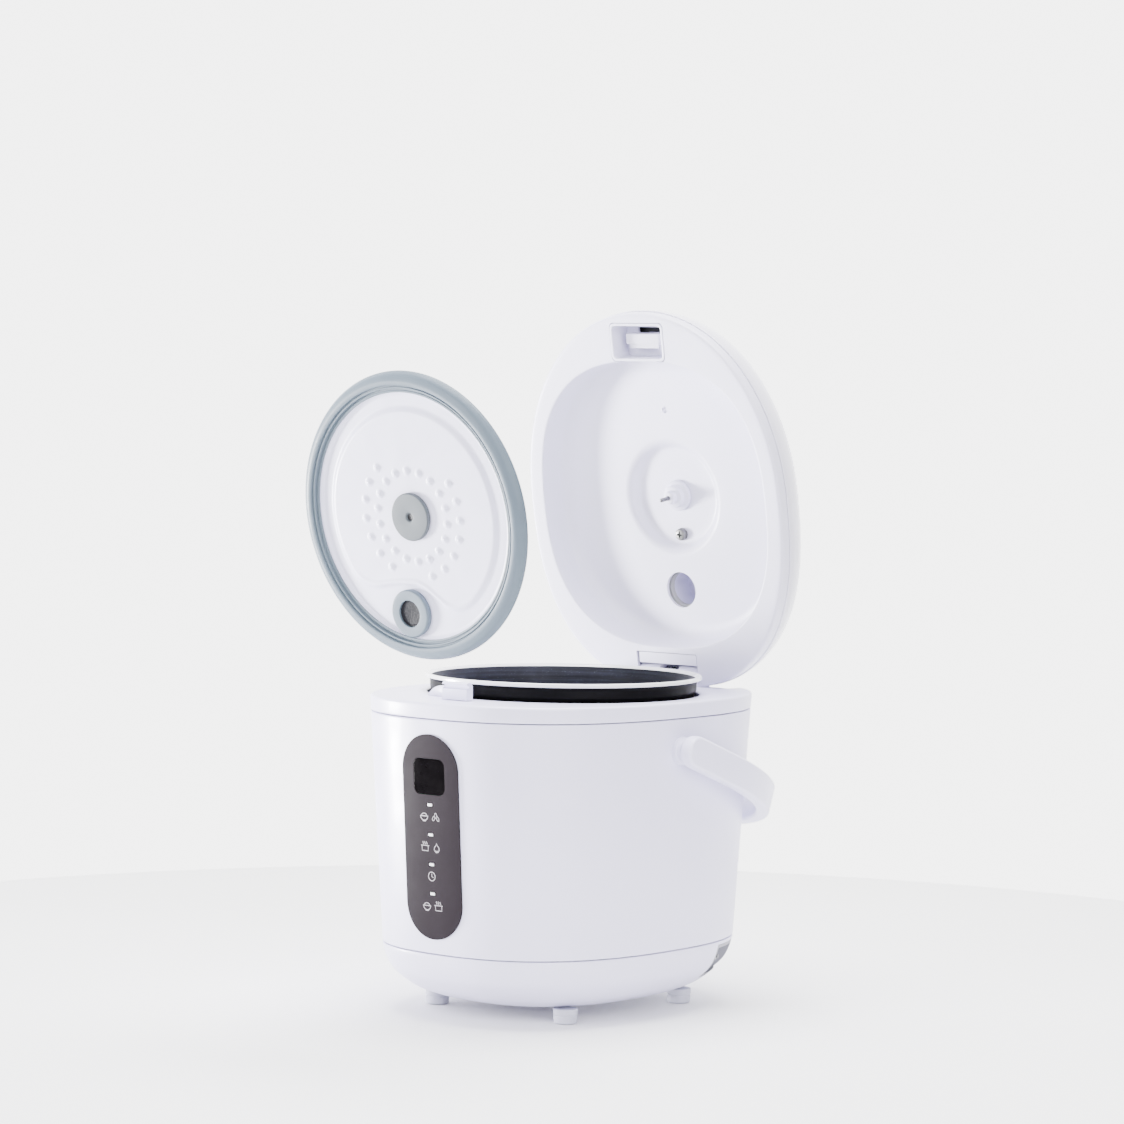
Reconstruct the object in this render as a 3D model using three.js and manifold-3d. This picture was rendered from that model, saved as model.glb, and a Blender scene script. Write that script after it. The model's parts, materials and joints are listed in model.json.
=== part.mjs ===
// A small rice cooker with its lid open, its inner lid taken out in front of it and its carrying
// handle lying back.
// Millimetres, +Z up, the control panel faces -Y. The rest pose is the stored pose.
import * as THREE from "three";
import { mergeVertices } from "three/addons/utils/BufferGeometryUtils.js";
import Module from "manifold-3d";

const wasm = await Module();
wasm.setup();

// ---- driving dimensions -------------------------------------------------------------------
const GAP = 0.3; // between neighbouring pieces
const SHIFT_Y = 12.2; // moves the body's own axis back, so that the origin is under the whole pose
const SIDES = 40; // points round the body's and the lid's outlines
const ROUND = 32; // points round large turned pieces
const SMALL = 14; // points round small turned pieces

const BODY = { z0: 38.3, a0: 82.0, b0: 104.5, z1: 167.3, a1: 88.6, b1: 113.4, n: 2.52, wall: 2.4 };
const COLLAR = { top: 176.3, edge: 2.2, hole: 76.6, plate: 2.7, under: 75 };
const BASE = {
  wall: 2.4,
  // share of the bottom seam's outline, and height
  steps: [[0.68, 8.6], [0.81, 13], [0.89, 18.5], [0.95, 24], [0.985, 31], [1, 38.3]],
};
const SCREW = { x: 24, y: 40 };
const FOOT = { x: 47, y: 50, r: 6.8, height: 9.2 };
const POT = { rim: 78, top: 186.5, r: 73.6, bottom: 72.3, wall: 1.6 };
const HEATER = { r: 64, top: 72, thick: 10, hole: 18.6 };
const SENSOR = { r: 17.4, top: 72, height: 11 };
const SLEEVE = { r: 75.4, wall: 0.8, z0: 58, z1: 172.6 };
const PANEL = { half: 20, z0: 46.6, z1: 159.1, proud: 1, window: [11.2, 9.9, 136] };
const LIGHT_Z = [120.6, 104.2, 87.9, 71.8];
const KEY_Z = [113.2, 96.4, 80.2, 63.8];
const CATCH = { half: 9, y0: -92.3, y1: -87.2, top: 186.4 };
const INLET = { x: 68.5, y: 62.5, turn: 27, half: 18, z0: 17, z1: 36, deep: 17 };

const HINGE = { y: 99.7, z: 182.1, pin: 2, open: 80 }; // open: degrees from shut
const LID = {
  a: 93, rear: 7.6, front: -212.4, nRear: 2.5, nFront: 2.1,
  face: -5, seam: 1.6, top: 35, wall: 2.2,
};
// places along the lid, measured forward of its hinge, and heights above the hinge when shut
const RECESS = { y: -100.5, a: 81.5, b: 84.2, n: 2.5, floor: 14.4, wall: 2 };
const WELL = { y: -101.7, r: 32, floor: 20.4 };
const STEAM = { y: -46.5, r: 10, cap: 18 };
const SCREW_Y = -78.6;
const WINDOW = { y: -195.6, x: 17.8, half: 9.4, deep: 15 };
const POCKET_WALL = 1.6;
const NOTCH = { half: 22.3, y: -10 };
const LATCH = { half: 14.5, y0: -200.3, y1: -193, z0: 1, z1: 8 };
const BUTTON = { y: -176, a: 13, b: 8 };

// the inner lid's centre, held out at rest, and how far it is turned on its grommet, in degrees
const OUT = { x: 13.45, y: -140.4, z: 278.3, turn: 8.5 };
const DISC = { r: 78.2, metal: 70.6, vent: -53.6 };

const HANDLE = { y: -3.5, z: 149.5, sag: 20.3, x: 97.6, straight: 34, reach: 138, wide: 17.6, thick: 8 };

// ---- materials ----------------------------------------------------------------------------
const paint = (color, roughness, metalness = 0) =>
  new THREE.MeshStandardMaterial({ color, roughness, metalness });
const WHITE = 0xeeecf4;
const GREY = 0x9aa8b2;
const DARK = 0x26262c;
const STEEL = 0xb9bcc2;

// ---- solids -------------------------------------------------------------------------------
// A closed geometry as a manifold solid, and back.
function solid(geometry, matrix = new THREE.Matrix4()) {
  const bare = new THREE.BufferGeometry();
  const loose = geometry.index ? geometry.toNonIndexed() : geometry;
  bare.setAttribute("position", loose.getAttribute("position").clone());
  bare.applyMatrix4(matrix);
  const merged = mergeVertices(bare, 1e-4);
  return new wasm.Manifold(
    new wasm.Mesh({
      numProp: 3,
      vertProperties: merged.attributes.position.array,
      triVerts: new Uint32Array(merged.index.array),
    }),
  );
}

function surface(body) {
  const mesh = body.getMesh();
  const geometry = new THREE.BufferGeometry();
  geometry.setAttribute("position", new THREE.BufferAttribute(mesh.vertProperties, 3));
  geometry.setIndex(new THREE.BufferAttribute(mesh.triVerts, 1));
  return geometry;
}

const join = (first, ...rest) => rest.reduce((whole, next) => whole.add(next), first);
const cut = (first, ...rest) => rest.reduce((whole, next) => whole.subtract(next), first);
const at = (x, y, z) => new THREE.Matrix4().makeTranslation(x, y, z);

// A box between two corners.
function box(x0, x1, y0, y1, z0, z1) {
  const shape = new THREE.BoxGeometry(x1 - x0, y1 - y0, z1 - z0);
  return solid(shape, at((x0 + x1) / 2, (y0 + y1) / 2, (z0 + z1) / 2));
}

// A round bar along "x", "y" or "z", from a to b, with its axis through (u, v) of the other two.
function bar(axis, r, a, b, u = 0, v = 0, sides = SMALL, rEnd = r) {
  const shape = new THREE.CylinderGeometry(rEnd, r, b - a, sides);
  const turn = new THREE.Matrix4();
  if (axis === "z") turn.makeRotationX(Math.PI / 2);
  if (axis === "x") turn.makeRotationZ(-Math.PI / 2);
  const mid = (a + b) / 2;
  const place = { x: at(mid, u, v), y: at(u, mid, v), z: at(u, v, mid) }[axis];
  return solid(shape, place.multiply(turn));
}

// A turned piece about +Z from its half section, [radius, height] pairs that run up the outside.
function turned(profile, sides = ROUND, matrix = new THREE.Matrix4()) {
  const points = profile.map(([r, z]) => new THREE.Vector2(r, z));
  const shape = new THREE.LatheGeometry(points, sides);
  return solid(shape, matrix.clone().multiply(new THREE.Matrix4().makeRotationX(Math.PI / 2)));
}

// A closed profile of [y, z] points drawn out along X.
function prismX(points, x0, x1) {
  const shape = new THREE.Shape(points.map(([y, z]) => new THREE.Vector2(y, z)));
  const body = new THREE.ExtrudeGeometry(shape, { depth: x1 - x0, bevelEnabled: false });
  const basis = new THREE.Matrix4().set(0, 0, 1, x0, 1, 0, 0, 0, 0, 1, 0, 0, 0, 0, 0, 1);
  return solid(body, basis);
}

// A flat outline drawn out along Y, for what is cut or laid on the front.
function prismY(shape, y0, y1) {
  const body = new THREE.ExtrudeGeometry(shape, {
    depth: y1 - y0, bevelEnabled: false, curveSegments: 5,
  });
  return solid(body, at(0, y1, 0).multiply(new THREE.Matrix4().makeRotationX(Math.PI / 2)));
}

function roundedRect(x, z, halfX, halfZ, r) {
  const shape = new THREE.Shape();
  shape.absarc(x + halfX - r, z - halfZ + r, r, -Math.PI / 2, 0);
  shape.absarc(x + halfX - r, z + halfZ - r, r, 0, Math.PI / 2);
  shape.absarc(x - halfX + r, z + halfZ - r, r, Math.PI / 2, Math.PI);
  shape.absarc(x - halfX + r, z - halfZ + r, r, Math.PI, Math.PI * 1.5);
  return shape;
}

// A ring of points on a superellipse; yMid, and the two ends' own lengths and exponents, allow an egg.
function ring({ a, back, front = back, nBack, nFront = nBack, yMid = 0, z }) {
  const points = [];
  for (let i = 0; i < SIDES; i++) {
    const t = (2 * Math.PI * i) / SIDES;
    const c = Math.cos(t);
    const s = Math.sin(t);
    const n = s < 0 ? nFront : nBack;
    const b = s < 0 ? front : back;
    const x = a * Math.sign(c) * Math.abs(c) ** (2 / n);
    const y = b * Math.sign(s) * Math.abs(s) ** (2 / n);
    points.push(new THREE.Vector3(x, yMid + y, z));
  }
  return points;
}

// A skin through rings of equally many points: it closes on itself, or ends in two flat caps.
function lofted(rings, loop = false) {
  const count = rings[0].length;
  const points = rings.flat();
  const faces = [];
  const bands = loop ? rings.length : rings.length - 1;
  for (let j = 0; j < bands; j++) {
    const low = j * count;
    const high = ((j + 1) % rings.length) * count;
    for (let i = 0; i < count; i++) {
      const k = (i + 1) % count;
      faces.push(low + i, low + k, high + k, low + i, high + k, high + i);
    }
  }
  if (!loop) {
    for (const [start, up] of [[0, false], [(rings.length - 1) * count, true]]) {
      const middle = new THREE.Vector3();
      for (let i = 0; i < count; i++) middle.addScaledVector(points[start + i], 1 / count);
      const hub = points.push(middle) - 1;
      for (let i = 0; i < count; i++) {
        const k = (i + 1) % count;
        if (up) faces.push(start + i, start + k, hub);
        else faces.push(start + k, start + i, hub);
      }
    }
  }
  const geometry = new THREE.BufferGeometry().setFromPoints(points);
  geometry.setIndex(faces);
  return solid(geometry);
}

// A coil spring's wire about +Z from z0 to z1.
function coil(r, wire, z0, z1, turns, matrix = new THREE.Matrix4()) {
  class Helix extends THREE.Curve {
    getPoint(t, target = new THREE.Vector3()) {
      const turn = 2 * Math.PI * turns * t;
      return target.set(r * Math.cos(turn), r * Math.sin(turn), z0 + (z1 - z0) * t);
    }
  }
  const section = new THREE.Shape();
  section.absarc(0, 0, wire / 2, 0, 2 * Math.PI);
  const shape = new THREE.ExtrudeGeometry(section, {
    steps: turns * 8, extrudePath: new Helix(), curveSegments: 2,
  });
  return solid(shape, matrix);
}

// ---- the assembly's groups ----------------------------------------------------------------
const cooker = new THREE.Group();
const body = new THREE.Group();
body.position.y = SHIFT_Y;
cooker.add(body);

function add(group, name, shape, material) {
  const mesh = new THREE.Mesh(surface(shape), material);
  mesh.name = name;
  group.add(mesh);
}

// ---- body shells --------------------------------------------------------------------------
// The body's outline at a height, grown or shrunk by a distance.
function bodyRing(z, grow = 0) {
  const share = (z - BODY.z0) / (BODY.z1 - BODY.z0);
  const a = BODY.a0 + (BODY.a1 - BODY.a0) * share + grow;
  const b = BODY.b0 + (BODY.b1 - BODY.b0) * share + grow;
  return ring({ a, back: b, nBack: BODY.n, z });
}

function outerShell() {
  const low = BODY.z0 + GAP / 2;
  const high = BODY.z1 - GAP / 2;
  const tube = lofted(
    [bodyRing(low), bodyRing(high), bodyRing(high, -BODY.wall), bodyRing(low, -BODY.wall)],
    true,
  );
  const hatch = prismY(roundedRect(0, 102, 15, 47.5, 4), -120, -90);
  const pivots = bar("x", 6.3, -100, 100, HANDLE.y, HANDLE.z);
  return cut(tube, hatch, pivots);
}

function topCollar() {
  const z0 = BODY.z1 + GAP / 2;
  const edge = COLLAR.edge;
  const block = lofted([
    bodyRing(z0),
    bodyRing(COLLAR.top - edge),
    ...[30, 60].map((deg) => {
      const t = (deg * Math.PI) / 180;
      const z = COLLAR.top - edge + edge * Math.sin(t);
      return bodyRing(COLLAR.top - edge, edge * (Math.cos(t) - 1)).map((p) => p.setZ(z));
    }),
    bodyRing(COLLAR.top - edge, -edge).map((p) => p.setZ(COLLAR.top)),
  ]);
  const hole = bar("z", COLLAR.hole, z0 - 1, COLLAR.top + 1, 0, 0, ROUND);
  // hollow underneath, but full at the back, where the hinge stands
  const roof = COLLAR.top - COLLAR.plate;
  const hollow = cut(
    lofted([bodyRing(z0 - 1, -2.4), bodyRing(roof, -2.4)]),
    bar("z", COLLAR.hole + 1.6, z0 - 2, roof + 1, 0, 0, ROUND),
    box(-100, 100, COLLAR.under, 130, z0 - 2, roof + 1),
  );
  const flange = bar("z", 80.8, z0 - 1, roof, 0, 0, ROUND);
  const dip = box(-47, 47, 86, 109, 172.4, 180);
  const sill = box(-47, 47, 108, 130, 174.4, 180);
  return cut(block, hole, hollow, flange, dip, sill);
}

// The base's full outer shape, or what is left of it inside its wall.
function baseBlock(inside) {
  const shrink = inside ? BASE.wall : 0;
  return lofted(BASE.steps.map(([share, z], i) => ring({
    a: BODY.a0 * share - shrink,
    back: BODY.b0 * share - shrink,
    nBack: BODY.n,
    z: inside ? z + (i ? 0.6 : BASE.wall) : Math.min(z, BODY.z0 - GAP / 2),
  })));
}

const toInlet = (shape) =>
  shape.rotate([0, 0, INLET.turn - 90]).translate([INLET.x, INLET.y, 0]);

function baseCup() {
  const cup = cut(baseBlock(false), baseBlock(true));
  const floor = BASE.steps[0][1];
  const posts = [];
  for (const [x, y] of [[-28, -28], [28, -28], [-28, 28], [28, 28]])
    posts.push(bar("z", 3.2, floor + 1, 23.6, x, y, 8));
  for (const [x, y] of [[-FOOT.x, -FOOT.y], [FOOT.x, -FOOT.y], [-FOOT.x, FOOT.y], [FOOT.x, FOOT.y]])
    posts.push(bar("z", 5, floor + 1.4, 21.6, x, y, 8));
  const { half, deep, z0, z1 } = INLET;
  const pocket = toInlet(box(-half - GAP, half + GAP, -deep, 30, z0, z1 + GAP));
  const vents = [-12, 0, 12].map((y) => box(-14, 14, y - 1.5, y + 1.5, 0, 12));
  const screws = [-SCREW.x, SCREW.x].map((x) => bar("z", 2, 0, 14, x, SCREW.y, 12));
  return cut(join(cup, ...posts), pocket, ...vents, ...screws);
}

add(body, "outer_shell", outerShell(), paint(WHITE, 0.3));
add(body, "top_collar", topCollar(), paint(WHITE, 0.3));
add(body, "base_cup", baseCup(), paint(WHITE, 0.3));

// The foot's top follows the cup's slope, so it stops short under it.
for (const [side, x] of [["left", -FOOT.x], ["right", FOOT.x]])
  for (const [end, y] of [["front", -FOOT.y], ["rear", FOOT.y]]) {
    const foot = bar("z", FOOT.r - 0.4, 0, FOOT.height - 1, x, y, SMALL, FOOT.r);
    add(body, `foot_${end}_${side}`, foot, paint(0xe6e4ee, 0.7));
  }

// ---- heater, sensor and the frame that holds them -----------------------------------------
function supportFrame() {
  const plate = turned([[24, 54], [79, 54], [79, 57.4], [24, 57.4], [24, 54]]);
  const legs = [];
  for (const x of [-FOOT.x, FOOT.x])
    for (const y of [-FOOT.y, FOOT.y]) legs.push(bar("z", 4, 22, 54.5, x, y, 8));
  for (const deg of [30, 150, 270]) {
    const t = (deg * Math.PI) / 180;
    legs.push(bar("z", 3, 57, 61.7, 50 * Math.cos(t), 50 * Math.sin(t), 12));
  }
  const strap = join(
    box(-32, 32, -8, 8, 46, 48),
    box(-32, -28, -8, 8, 46, 55),
    box(28, 32, -8, 8, 46, 55),
  );
  return join(plate, ...legs, strap);
}

function sleeve() {
  const { r, wall, z0, z1 } = SLEEVE;
  return turned([
    [68, z0], [r + wall, z0], [r + wall, z1 - wall], [80, z1 - wall], [80, z1], [r, z1],
    [r, z0 + wall], [68, z0 + wall], [68, z0],
  ]);
}

function heaterPlate() {
  const { r, top, thick, hole } = HEATER;
  return turned([
    [hole, top - 6], [40, top - 6], [42, top - thick], [56, top - thick], [58, top - 6], [r, top - 5],
    [r, top - 1], [r - 1, top], [hole, top], [hole, top - 6],
  ]);
}

function sensorCap() {
  const { r, top, height } = SENSOR;
  return turned([
    [12, top - height], [r, top - height], [r, top - 1], [r - 1, top], [0, top], [0, top - 2],
    [r - 2, top - 2], [r - 2, top - height + 2], [12, top - height + 2], [12, top - height],
  ], 20);
}

add(body, "support_frame", supportFrame(), paint(STEEL, 0.4, 1));
add(body, "inner_sleeve", sleeve(), paint(STEEL, 0.35, 1));
add(body, "heater_plate", heaterPlate(), paint(0xa8aaad, 0.5, 1));
add(body, "sensor_cap", sensorCap(), paint(0xb5b8bc, 0.4, 1));
add(body, "sensor_spring", coil(8, 1, 49, 69.2, 5), paint(STEEL, 0.3, 1));
add(body, "thermal_fuse", bar("y", 1.9, -10, 10, 46, 59.6, 12), paint(0xd8d8d2, 0.6));

// ---- electronics --------------------------------------------------------------------------
function powerBoard() {
  return join(
    box(-36, 36, -34, 34, 23.9, 25.5),
    box(-30, -10, -28, -12, 25, 40),
    box(0, 24, -26, -4, 25, 43),
    box(-28, -4, 4, 16, 25, 34),
    bar("z", 6, 25, 41, 20, 16, 16),
    box(-12, 14, 24, 31, 25, 37),
  );
}

add(body, "power_board", powerBoard(), paint(0x2f6b4a, 0.6));

// The front's own frame: it leans with the shell's taper, its origin is on the shell's face.
const LEAN = Math.atan((BODY.b1 - BODY.b0) / (BODY.z1 - BODY.z0));
const PANEL_MID = (PANEL.z0 + PANEL.z1) / 2;
const front = new THREE.Group();
front.position.set(0, -BODY.b0 - (PANEL_MID - BODY.z0) * Math.tan(LEAN), PANEL_MID);
front.rotation.x = LEAN;
body.add(front);
const upFront = (z) => (z - PANEL_MID) / Math.cos(LEAN);

// A thin skin that lies on the shell's face, cut to an outline.
function onFace(shape, from, to) {
  const skin = cut(
    lofted([bodyRing(BODY.z0, to), bodyRing(BODY.z1, to)]),
    lofted([bodyRing(BODY.z0 - 1, from), bodyRing(BODY.z1 + 1, from)]),
  );
  return prismY(shape, -125, -80).intersect(skin);
}

function panelOverlay() {
  const mid = (PANEL.z0 + PANEL.z1) / 2;
  const stadium = roundedRect(0, mid, PANEL.half, (PANEL.z1 - PANEL.z0) / 2, PANEL.half - 0.01);
  const [wx, wz, z] = PANEL.window;
  const slots = LIGHT_Z.map((h) => box(-2, 2, -125, -80, h - 1.1, h + 1.1));
  const pane = prismY(roundedRect(0, z, wx, wz, 4), -125, -80);
  return cut(onFace(stadium, GAP, PANEL.proud), pane, ...slots);
}

const [paneX, paneZ, paneMid] = PANEL.window;
const paneShape = roundedRect(0, paneMid, paneX - GAP, paneZ - GAP, 3.7);
add(body, "panel_overlay", panelOverlay(), paint(0x746c76, 0.45));
add(body, "display_window", onFace(paneShape, GAP, PANEL.proud), paint(0x17171c, 0.1));
add(front, "display_module", box(-12, 12, 0.6, 8.8, upFront(126.4), upFront(145.6)), paint(DARK, 0.5));
add(front, "control_board", box(-17, 17, 9.1, 10.7, -47, 46), paint(0x2f6b4a, 0.6));
LIGHT_Z.forEach((z, i) => {
  const guide = box(-1.65, 1.65, -0.9, 8.8, upFront(z) - 0.75, upFront(z) + 0.75);
  add(front, `light_guide_${i + 1}`, guide, paint(0xffffff, 0.3));
});
KEY_Z.forEach((z, i) => {
  const stem = join(
    bar("y", 4.4, 0.6, 2.2, 0, upFront(z), 16),
    bar("y", 2, 2, 8.2, 0, upFront(z), 12),
  );
  add(front, `key_plunger_${i + 1}`, stem, paint(0xd9d9de, 0.5));
});

// ---- power inlet --------------------------------------------------------------------------
{
  const { half, deep, z0, z1 } = INLET;
  const low = z0 + GAP;
  const mid = (low + z1) / 2;
  const skin = 1.8;
  const shell = cut(
    box(-half, half, -deep + GAP, 30, low, z1),
    box(-half + skin, half - skin, -deep + skin + GAP, 40, low + skin, z1 - skin),
    ...[-3.6, 3.6].map((x) => bar("y", 1.6, -deep - 1, -deep + 5, x, mid, 12)),
  );
  const socket = toInlet(shell).intersect(baseBlock(false));
  add(body, "inlet_socket", socket, paint(0xc6c6cc, 0.5));
  for (const [side, x] of [["left", -3.6], ["right", 3.6]]) {
    const pin = toInlet(bar("y", 1.2, -deep - 2.5, -3.5, x, mid, 12));
    add(body, `inlet_pin_${side}`, pin, paint(STEEL, 0.25, 1));
  }
}

// ---- catch, hinge bracket, pin and spring -------------------------------------------------
function latchCatch() {
  const { half, y0, y1, top } = CATCH;
  const z0 = COLLAR.top + GAP;
  const hook = prismX([[y0, z0], [y1, z0], [y1, top - 2], [y1 - 1.5, top], [y0 + 1, top], [y0, top - 1]],
    -half, half);
  return cut(hook, box(-half - 1, half + 1, y0 - 1, y0 + 2, 182.6, 185));
}

function hingeBracket() {
  const foot = prismX([[90, 172.7], [107, 172.7], [104.6, 182], [95.2, 178.6]], -21.6, 21.6);
  const barrel = bar("x", 5.1, -21.6, 21.6, HINGE.y, HINGE.z, 16);
  const bore = bar("x", HINGE.pin + GAP, -30, 30, HINGE.y, HINGE.z, 16);
  const springBay = box(-7, 7, 94.5, 130, 177.2, 190);
  return cut(join(foot, barrel), bore, springBay);
}

const onHinge = new THREE.Matrix4().makeRotationY(Math.PI / 2).setPosition(0, HINGE.y, HINGE.z);
add(body, "latch_catch", latchCatch(), paint(WHITE, 0.35));
add(body, "hinge_bracket", hingeBracket(), paint(WHITE, 0.35));
add(body, "hinge_pin", bar("x", HINGE.pin, -28.6, 28.6, HINGE.y, HINGE.z, 16), paint(STEEL, 0.3, 1));
add(body, "hinge_spring", coil(3.4, 1.1, -5.6, 5.6, 6, onHinge), paint(STEEL, 0.3, 1));
for (const [side, sign] of [["left", -1], ["right", 1]]) {
  const x = sign * SCREW.x;
  const screw = cut(
    join(bar("z", 1.6, 8, 18, x, SCREW.y, 10), bar("z", 3.2, 6.4, 8.3, x, SCREW.y, 16)),
    box(x - 2.4, x + 2.4, SCREW.y - 0.5, SCREW.y + 0.5, 6, 7.3),
  );
  add(body, `base_screw_${side}`, screw, paint(STEEL, 0.35, 1));
  const pin = join(
    bar("x", 5, 80, 97.5, HANDLE.y, HANDLE.z),
    bar("x", 7.4, 88.3, 93, HANDLE.y, HANDLE.z),
    bar("x", 9, 80, 83.6, HANDLE.y, HANDLE.z),
  );
  add(body, `handle_pin_${side}`, sign < 0 ? pin.mirror([1, 0, 0]) : pin, paint(STEEL, 0.35, 1));
}

// ---- inner pot ----------------------------------------------------------------------------
function innerPot() {
  const { rim, top, r, bottom, wall } = POT;
  return turned([
    [0, bottom], [60, bottom], [66, bottom + 2], [70.6, bottom + 7], [72.8, bottom + 14], [r, 100],
    [r, 176], [75, 178.4], [75.2, 183.2], [rim, 184.6], [rim, top], [rim - 1.4, top + 0.3],
    [rim - 4, 184.2], [r - wall + 0.2, 178], [r - wall, 100], [71, bottom + 14],
    [68.8, bottom + 8], [64.6, bottom + 3.6], [59, bottom + 2.2], [0, bottom + 2.2],
  ]);
}

add(body, "inner_pot", innerPot(), paint(0x3c4048, 0.5, 0.3));

// ---- carrying handle ----------------------------------------------------------------------
// Its own frame has its origin on the pivots, +Y along the arms.
const handle = new THREE.Group();
handle.position.set(0, HANDLE.y, HANDLE.z);
handle.rotation.x = (-HANDLE.sag * Math.PI) / 180;
body.add(handle);

function bail() {
  const { x, straight, reach, wide, thick } = HANDLE;
  const line = [[x, -wide / 2 + 1.2], [x, -wide / 2 + 2.4], [x, -wide / 2 + 5], [x, 0], [x, straight / 2]];
  const bends = 16;
  for (let i = 0; i <= bends; i++) {
    const t = (Math.PI / 2) * (i / bends);
    line.push([x * Math.cos(t), straight + (reach - straight) * Math.sin(t)]);
  }
  const path = [...line, ...line.slice(0, -1).reverse().map(([px, py]) => [-px, py])];
  const girth = [5.2, 8.8, 13.4];
  const rings = path.map(([px, py], i) => {
    const [ax, ay] = path[Math.max(i - 1, 0)];
    const [bx, by] = path[Math.min(i + 1, path.length - 1)];
    const length = Math.hypot(bx - ax, by - ay);
    const [nx, ny] = [(by - ay) / length, -(bx - ax) / length];
    const end = Math.min(i, path.length - 1 - i);
    const h = (girth[end] ?? wide) / 2;
    const w = thick / 2;
    const section = [
      [-w, -h + 2], [-w + 2, -h], [w - 2, -h], [w, -h + 2], [w, h - 2], [w - 2, h], [-w + 2, h], [-w, h - 2],
    ];
    return section.reverse().map(([u, v]) => new THREE.Vector3(px + nx * u, py + ny * u, v));
  });
  const loop = lofted(rings);
  const arm = bar("x", wide / 2, x - thick / 2, x + thick / 2, 0, 0, 20);
  const other = bar("x", wide / 2, -x - thick / 2, -x + thick / 2, 0, 0, 20);
  const bore = x - thick / 2;
  return cut(
    join(loop, arm, other),
    bar("x", 5.3, bore - 1, bore + 4.6),
    bar("x", 5.3, -bore - 4.6, -bore + 1),
  );
}

add(handle, "carry_handle", bail(), paint(WHITE, 0.25));

// ---- lid ----------------------------------------------------------------------------------
// Its own frame has its origin on the hinge, with the lid shut: -Y forward, +Z up.
const lid = new THREE.Group();
lid.position.set(0, HINGE.y, HINGE.z);
lid.rotation.x = (-HINGE.open * Math.PI) / 180;
body.add(lid);

const LID_MID = (LID.rear + LID.front) / 2;
function lidRing(inset, z) {
  const half = (LID.rear - LID.front) / 2 - inset;
  return ring({
    a: LID.a - inset, back: half, front: half, nBack: LID.nRear, nFront: LID.nFront, yMid: LID_MID, z,
  });
}

function lidOuterShell() {
  const outside = [
    [-0.6, LID.seam + GAP], [-0.6, 5], [0.6, 11], [3, 17], [7.4, 22.6], [14, 27.4], [24, 31.2], [40, 33.8],
    [62, LID.top],
  ];
  const dome = lofted(outside.map(([inset, z]) => lidRing(inset, z)));
  const inside = outside.map(([inset, z], i) =>
    lidRing(Math.max(inset, 0) + LID.wall, i ? z - LID.wall * (i / (outside.length - 1)) : z - 1));
  const steam = bar("z", 14.4, 20, 50, 0, STEAM.y, 20);
  const button = bar("z", 1, 15, 50).scale([BUTTON.a + 0.5, BUTTON.b + 0.5, 1]).translate([0, BUTTON.y, 0]);
  const rear = box(-NOTCH.half - 5.4, NOTCH.half + 5.4, -6, 20, -10, 7);
  return cut(dome, lofted(inside), steam, button, rear);
}

// The recess in the lid's face, grown outwards by a wall and lowered by a floor's thickness.
function recessShape(grow, drop) {
  const steps = [[0, drop ? 0 : -1.2], [0.8, 10], [1.6, 15.4], [4.4, 18.4], [8, 19.4]];
  return lofted(steps.map(([inset, d]) => ring({
    a: RECESS.a - inset + grow, back: RECESS.b - inset + grow, nBack: RECESS.n, yMid: RECESS.y,
    z: LID.face + d + (d > 0 ? drop : 0),
  })));
}

// The round well in the recess's floor.
function wellShape(grow, drop) {
  return turned([
    [0, 10], [WELL.r + grow + 2, 10], [WELL.r + grow + 2, RECESS.floor - 0.1], [WELL.r + grow, 15.4 + drop],
    [WELL.r - 4 + grow, WELL.floor + drop], [0, WELL.floor + drop],
  ], ROUND, at(0, WELL.y, 0));
}

// The latch window's pocket, grown by a wall on its sides and its floor; its rear is the recess's wall.
const POCKET_REAR = WINDOW.y + WINDOW.half;
function pocketShape(grow, from, rear = grow) {
  return box(-WINDOW.x - grow, WINDOW.x + grow, WINDOW.y - WINDOW.half - grow, POCKET_REAR + rear,
    from, LID.face + WINDOW.deep - POCKET_WALL + grow);
}

// The face, its rounded edge and its side wall, open where the recess and the latch pocket are let in.
function lidLiner() {
  const { face, seam } = LID;
  const skin = 2.2;
  const plate = lofted([lidRing(2.2, face), lidRing(0.6, face + 0.8), lidRing(0, face + 2.4), lidRing(0, seam)]);
  const above = lofted([lidRing(2.4, face + skin), lidRing(2.4, seam + 1)]);
  const rear = box(-NOTCH.half, NOTCH.half, NOTCH.y, 20, -10, 10);
  const knuckles = [-1, 1].map((s) => {
    const x = s * (NOTCH.half + 2.5);
    return join(bar("x", 4.4, x - 2, x + 2, 0, 0, 20), box(x - 2, x + 2, -4.4, 4.4, face + 1, 0));
  });
  const bore = bar("x", HINGE.pin + GAP, -30, 30, 0, 0, 16);
  const opening = recessShape(RECESS.wall + GAP, 0);
  return cut(join(cut(plate, above), ...knuckles), opening, pocketShape(POCKET_WALL + GAP, face - 1), rear, bore);
}

// The recess's walls and floor, with a flange that rests behind the liner's face.
function recessPan() {
  const { wall } = RECESS;
  const low = LID.face + 2.5;
  const rim = (z) => ring({ a: RECESS.a + 5.5, back: RECESS.b + 5.5, nBack: RECESS.n, yMid: RECESS.y, z });
  const flange = lofted([rim(low), rim(low + 1.6)]);
  const tube = bar("z", STEAM.r + 2 + GAP, -10, 30, 0, STEAM.y, 20);
  const screwHole = bar("z", 1.9, 10, 30, 0, SCREW_Y, 12);
  return cut(
    join(recessShape(wall, wall), wellShape(wall, wall), flange),
    recessShape(0, 0), wellShape(0, 0), pocketShape(POCKET_WALL + GAP, LID.face - 1, 0), tube, screwHole,
  );
}

function latchPocket() {
  const slot = box(-5, 5, -202.4, -193.1, 0, 20);
  const cup = cut(pocketShape(POCKET_WALL, LID.face + 0.4), pocketShape(0, LID.face - 1), slot);
  const behind = box(-30, 30, POCKET_REAR - GAP, RECESS.y, -10, 20);
  return cut(cup, behind);
}

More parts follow.
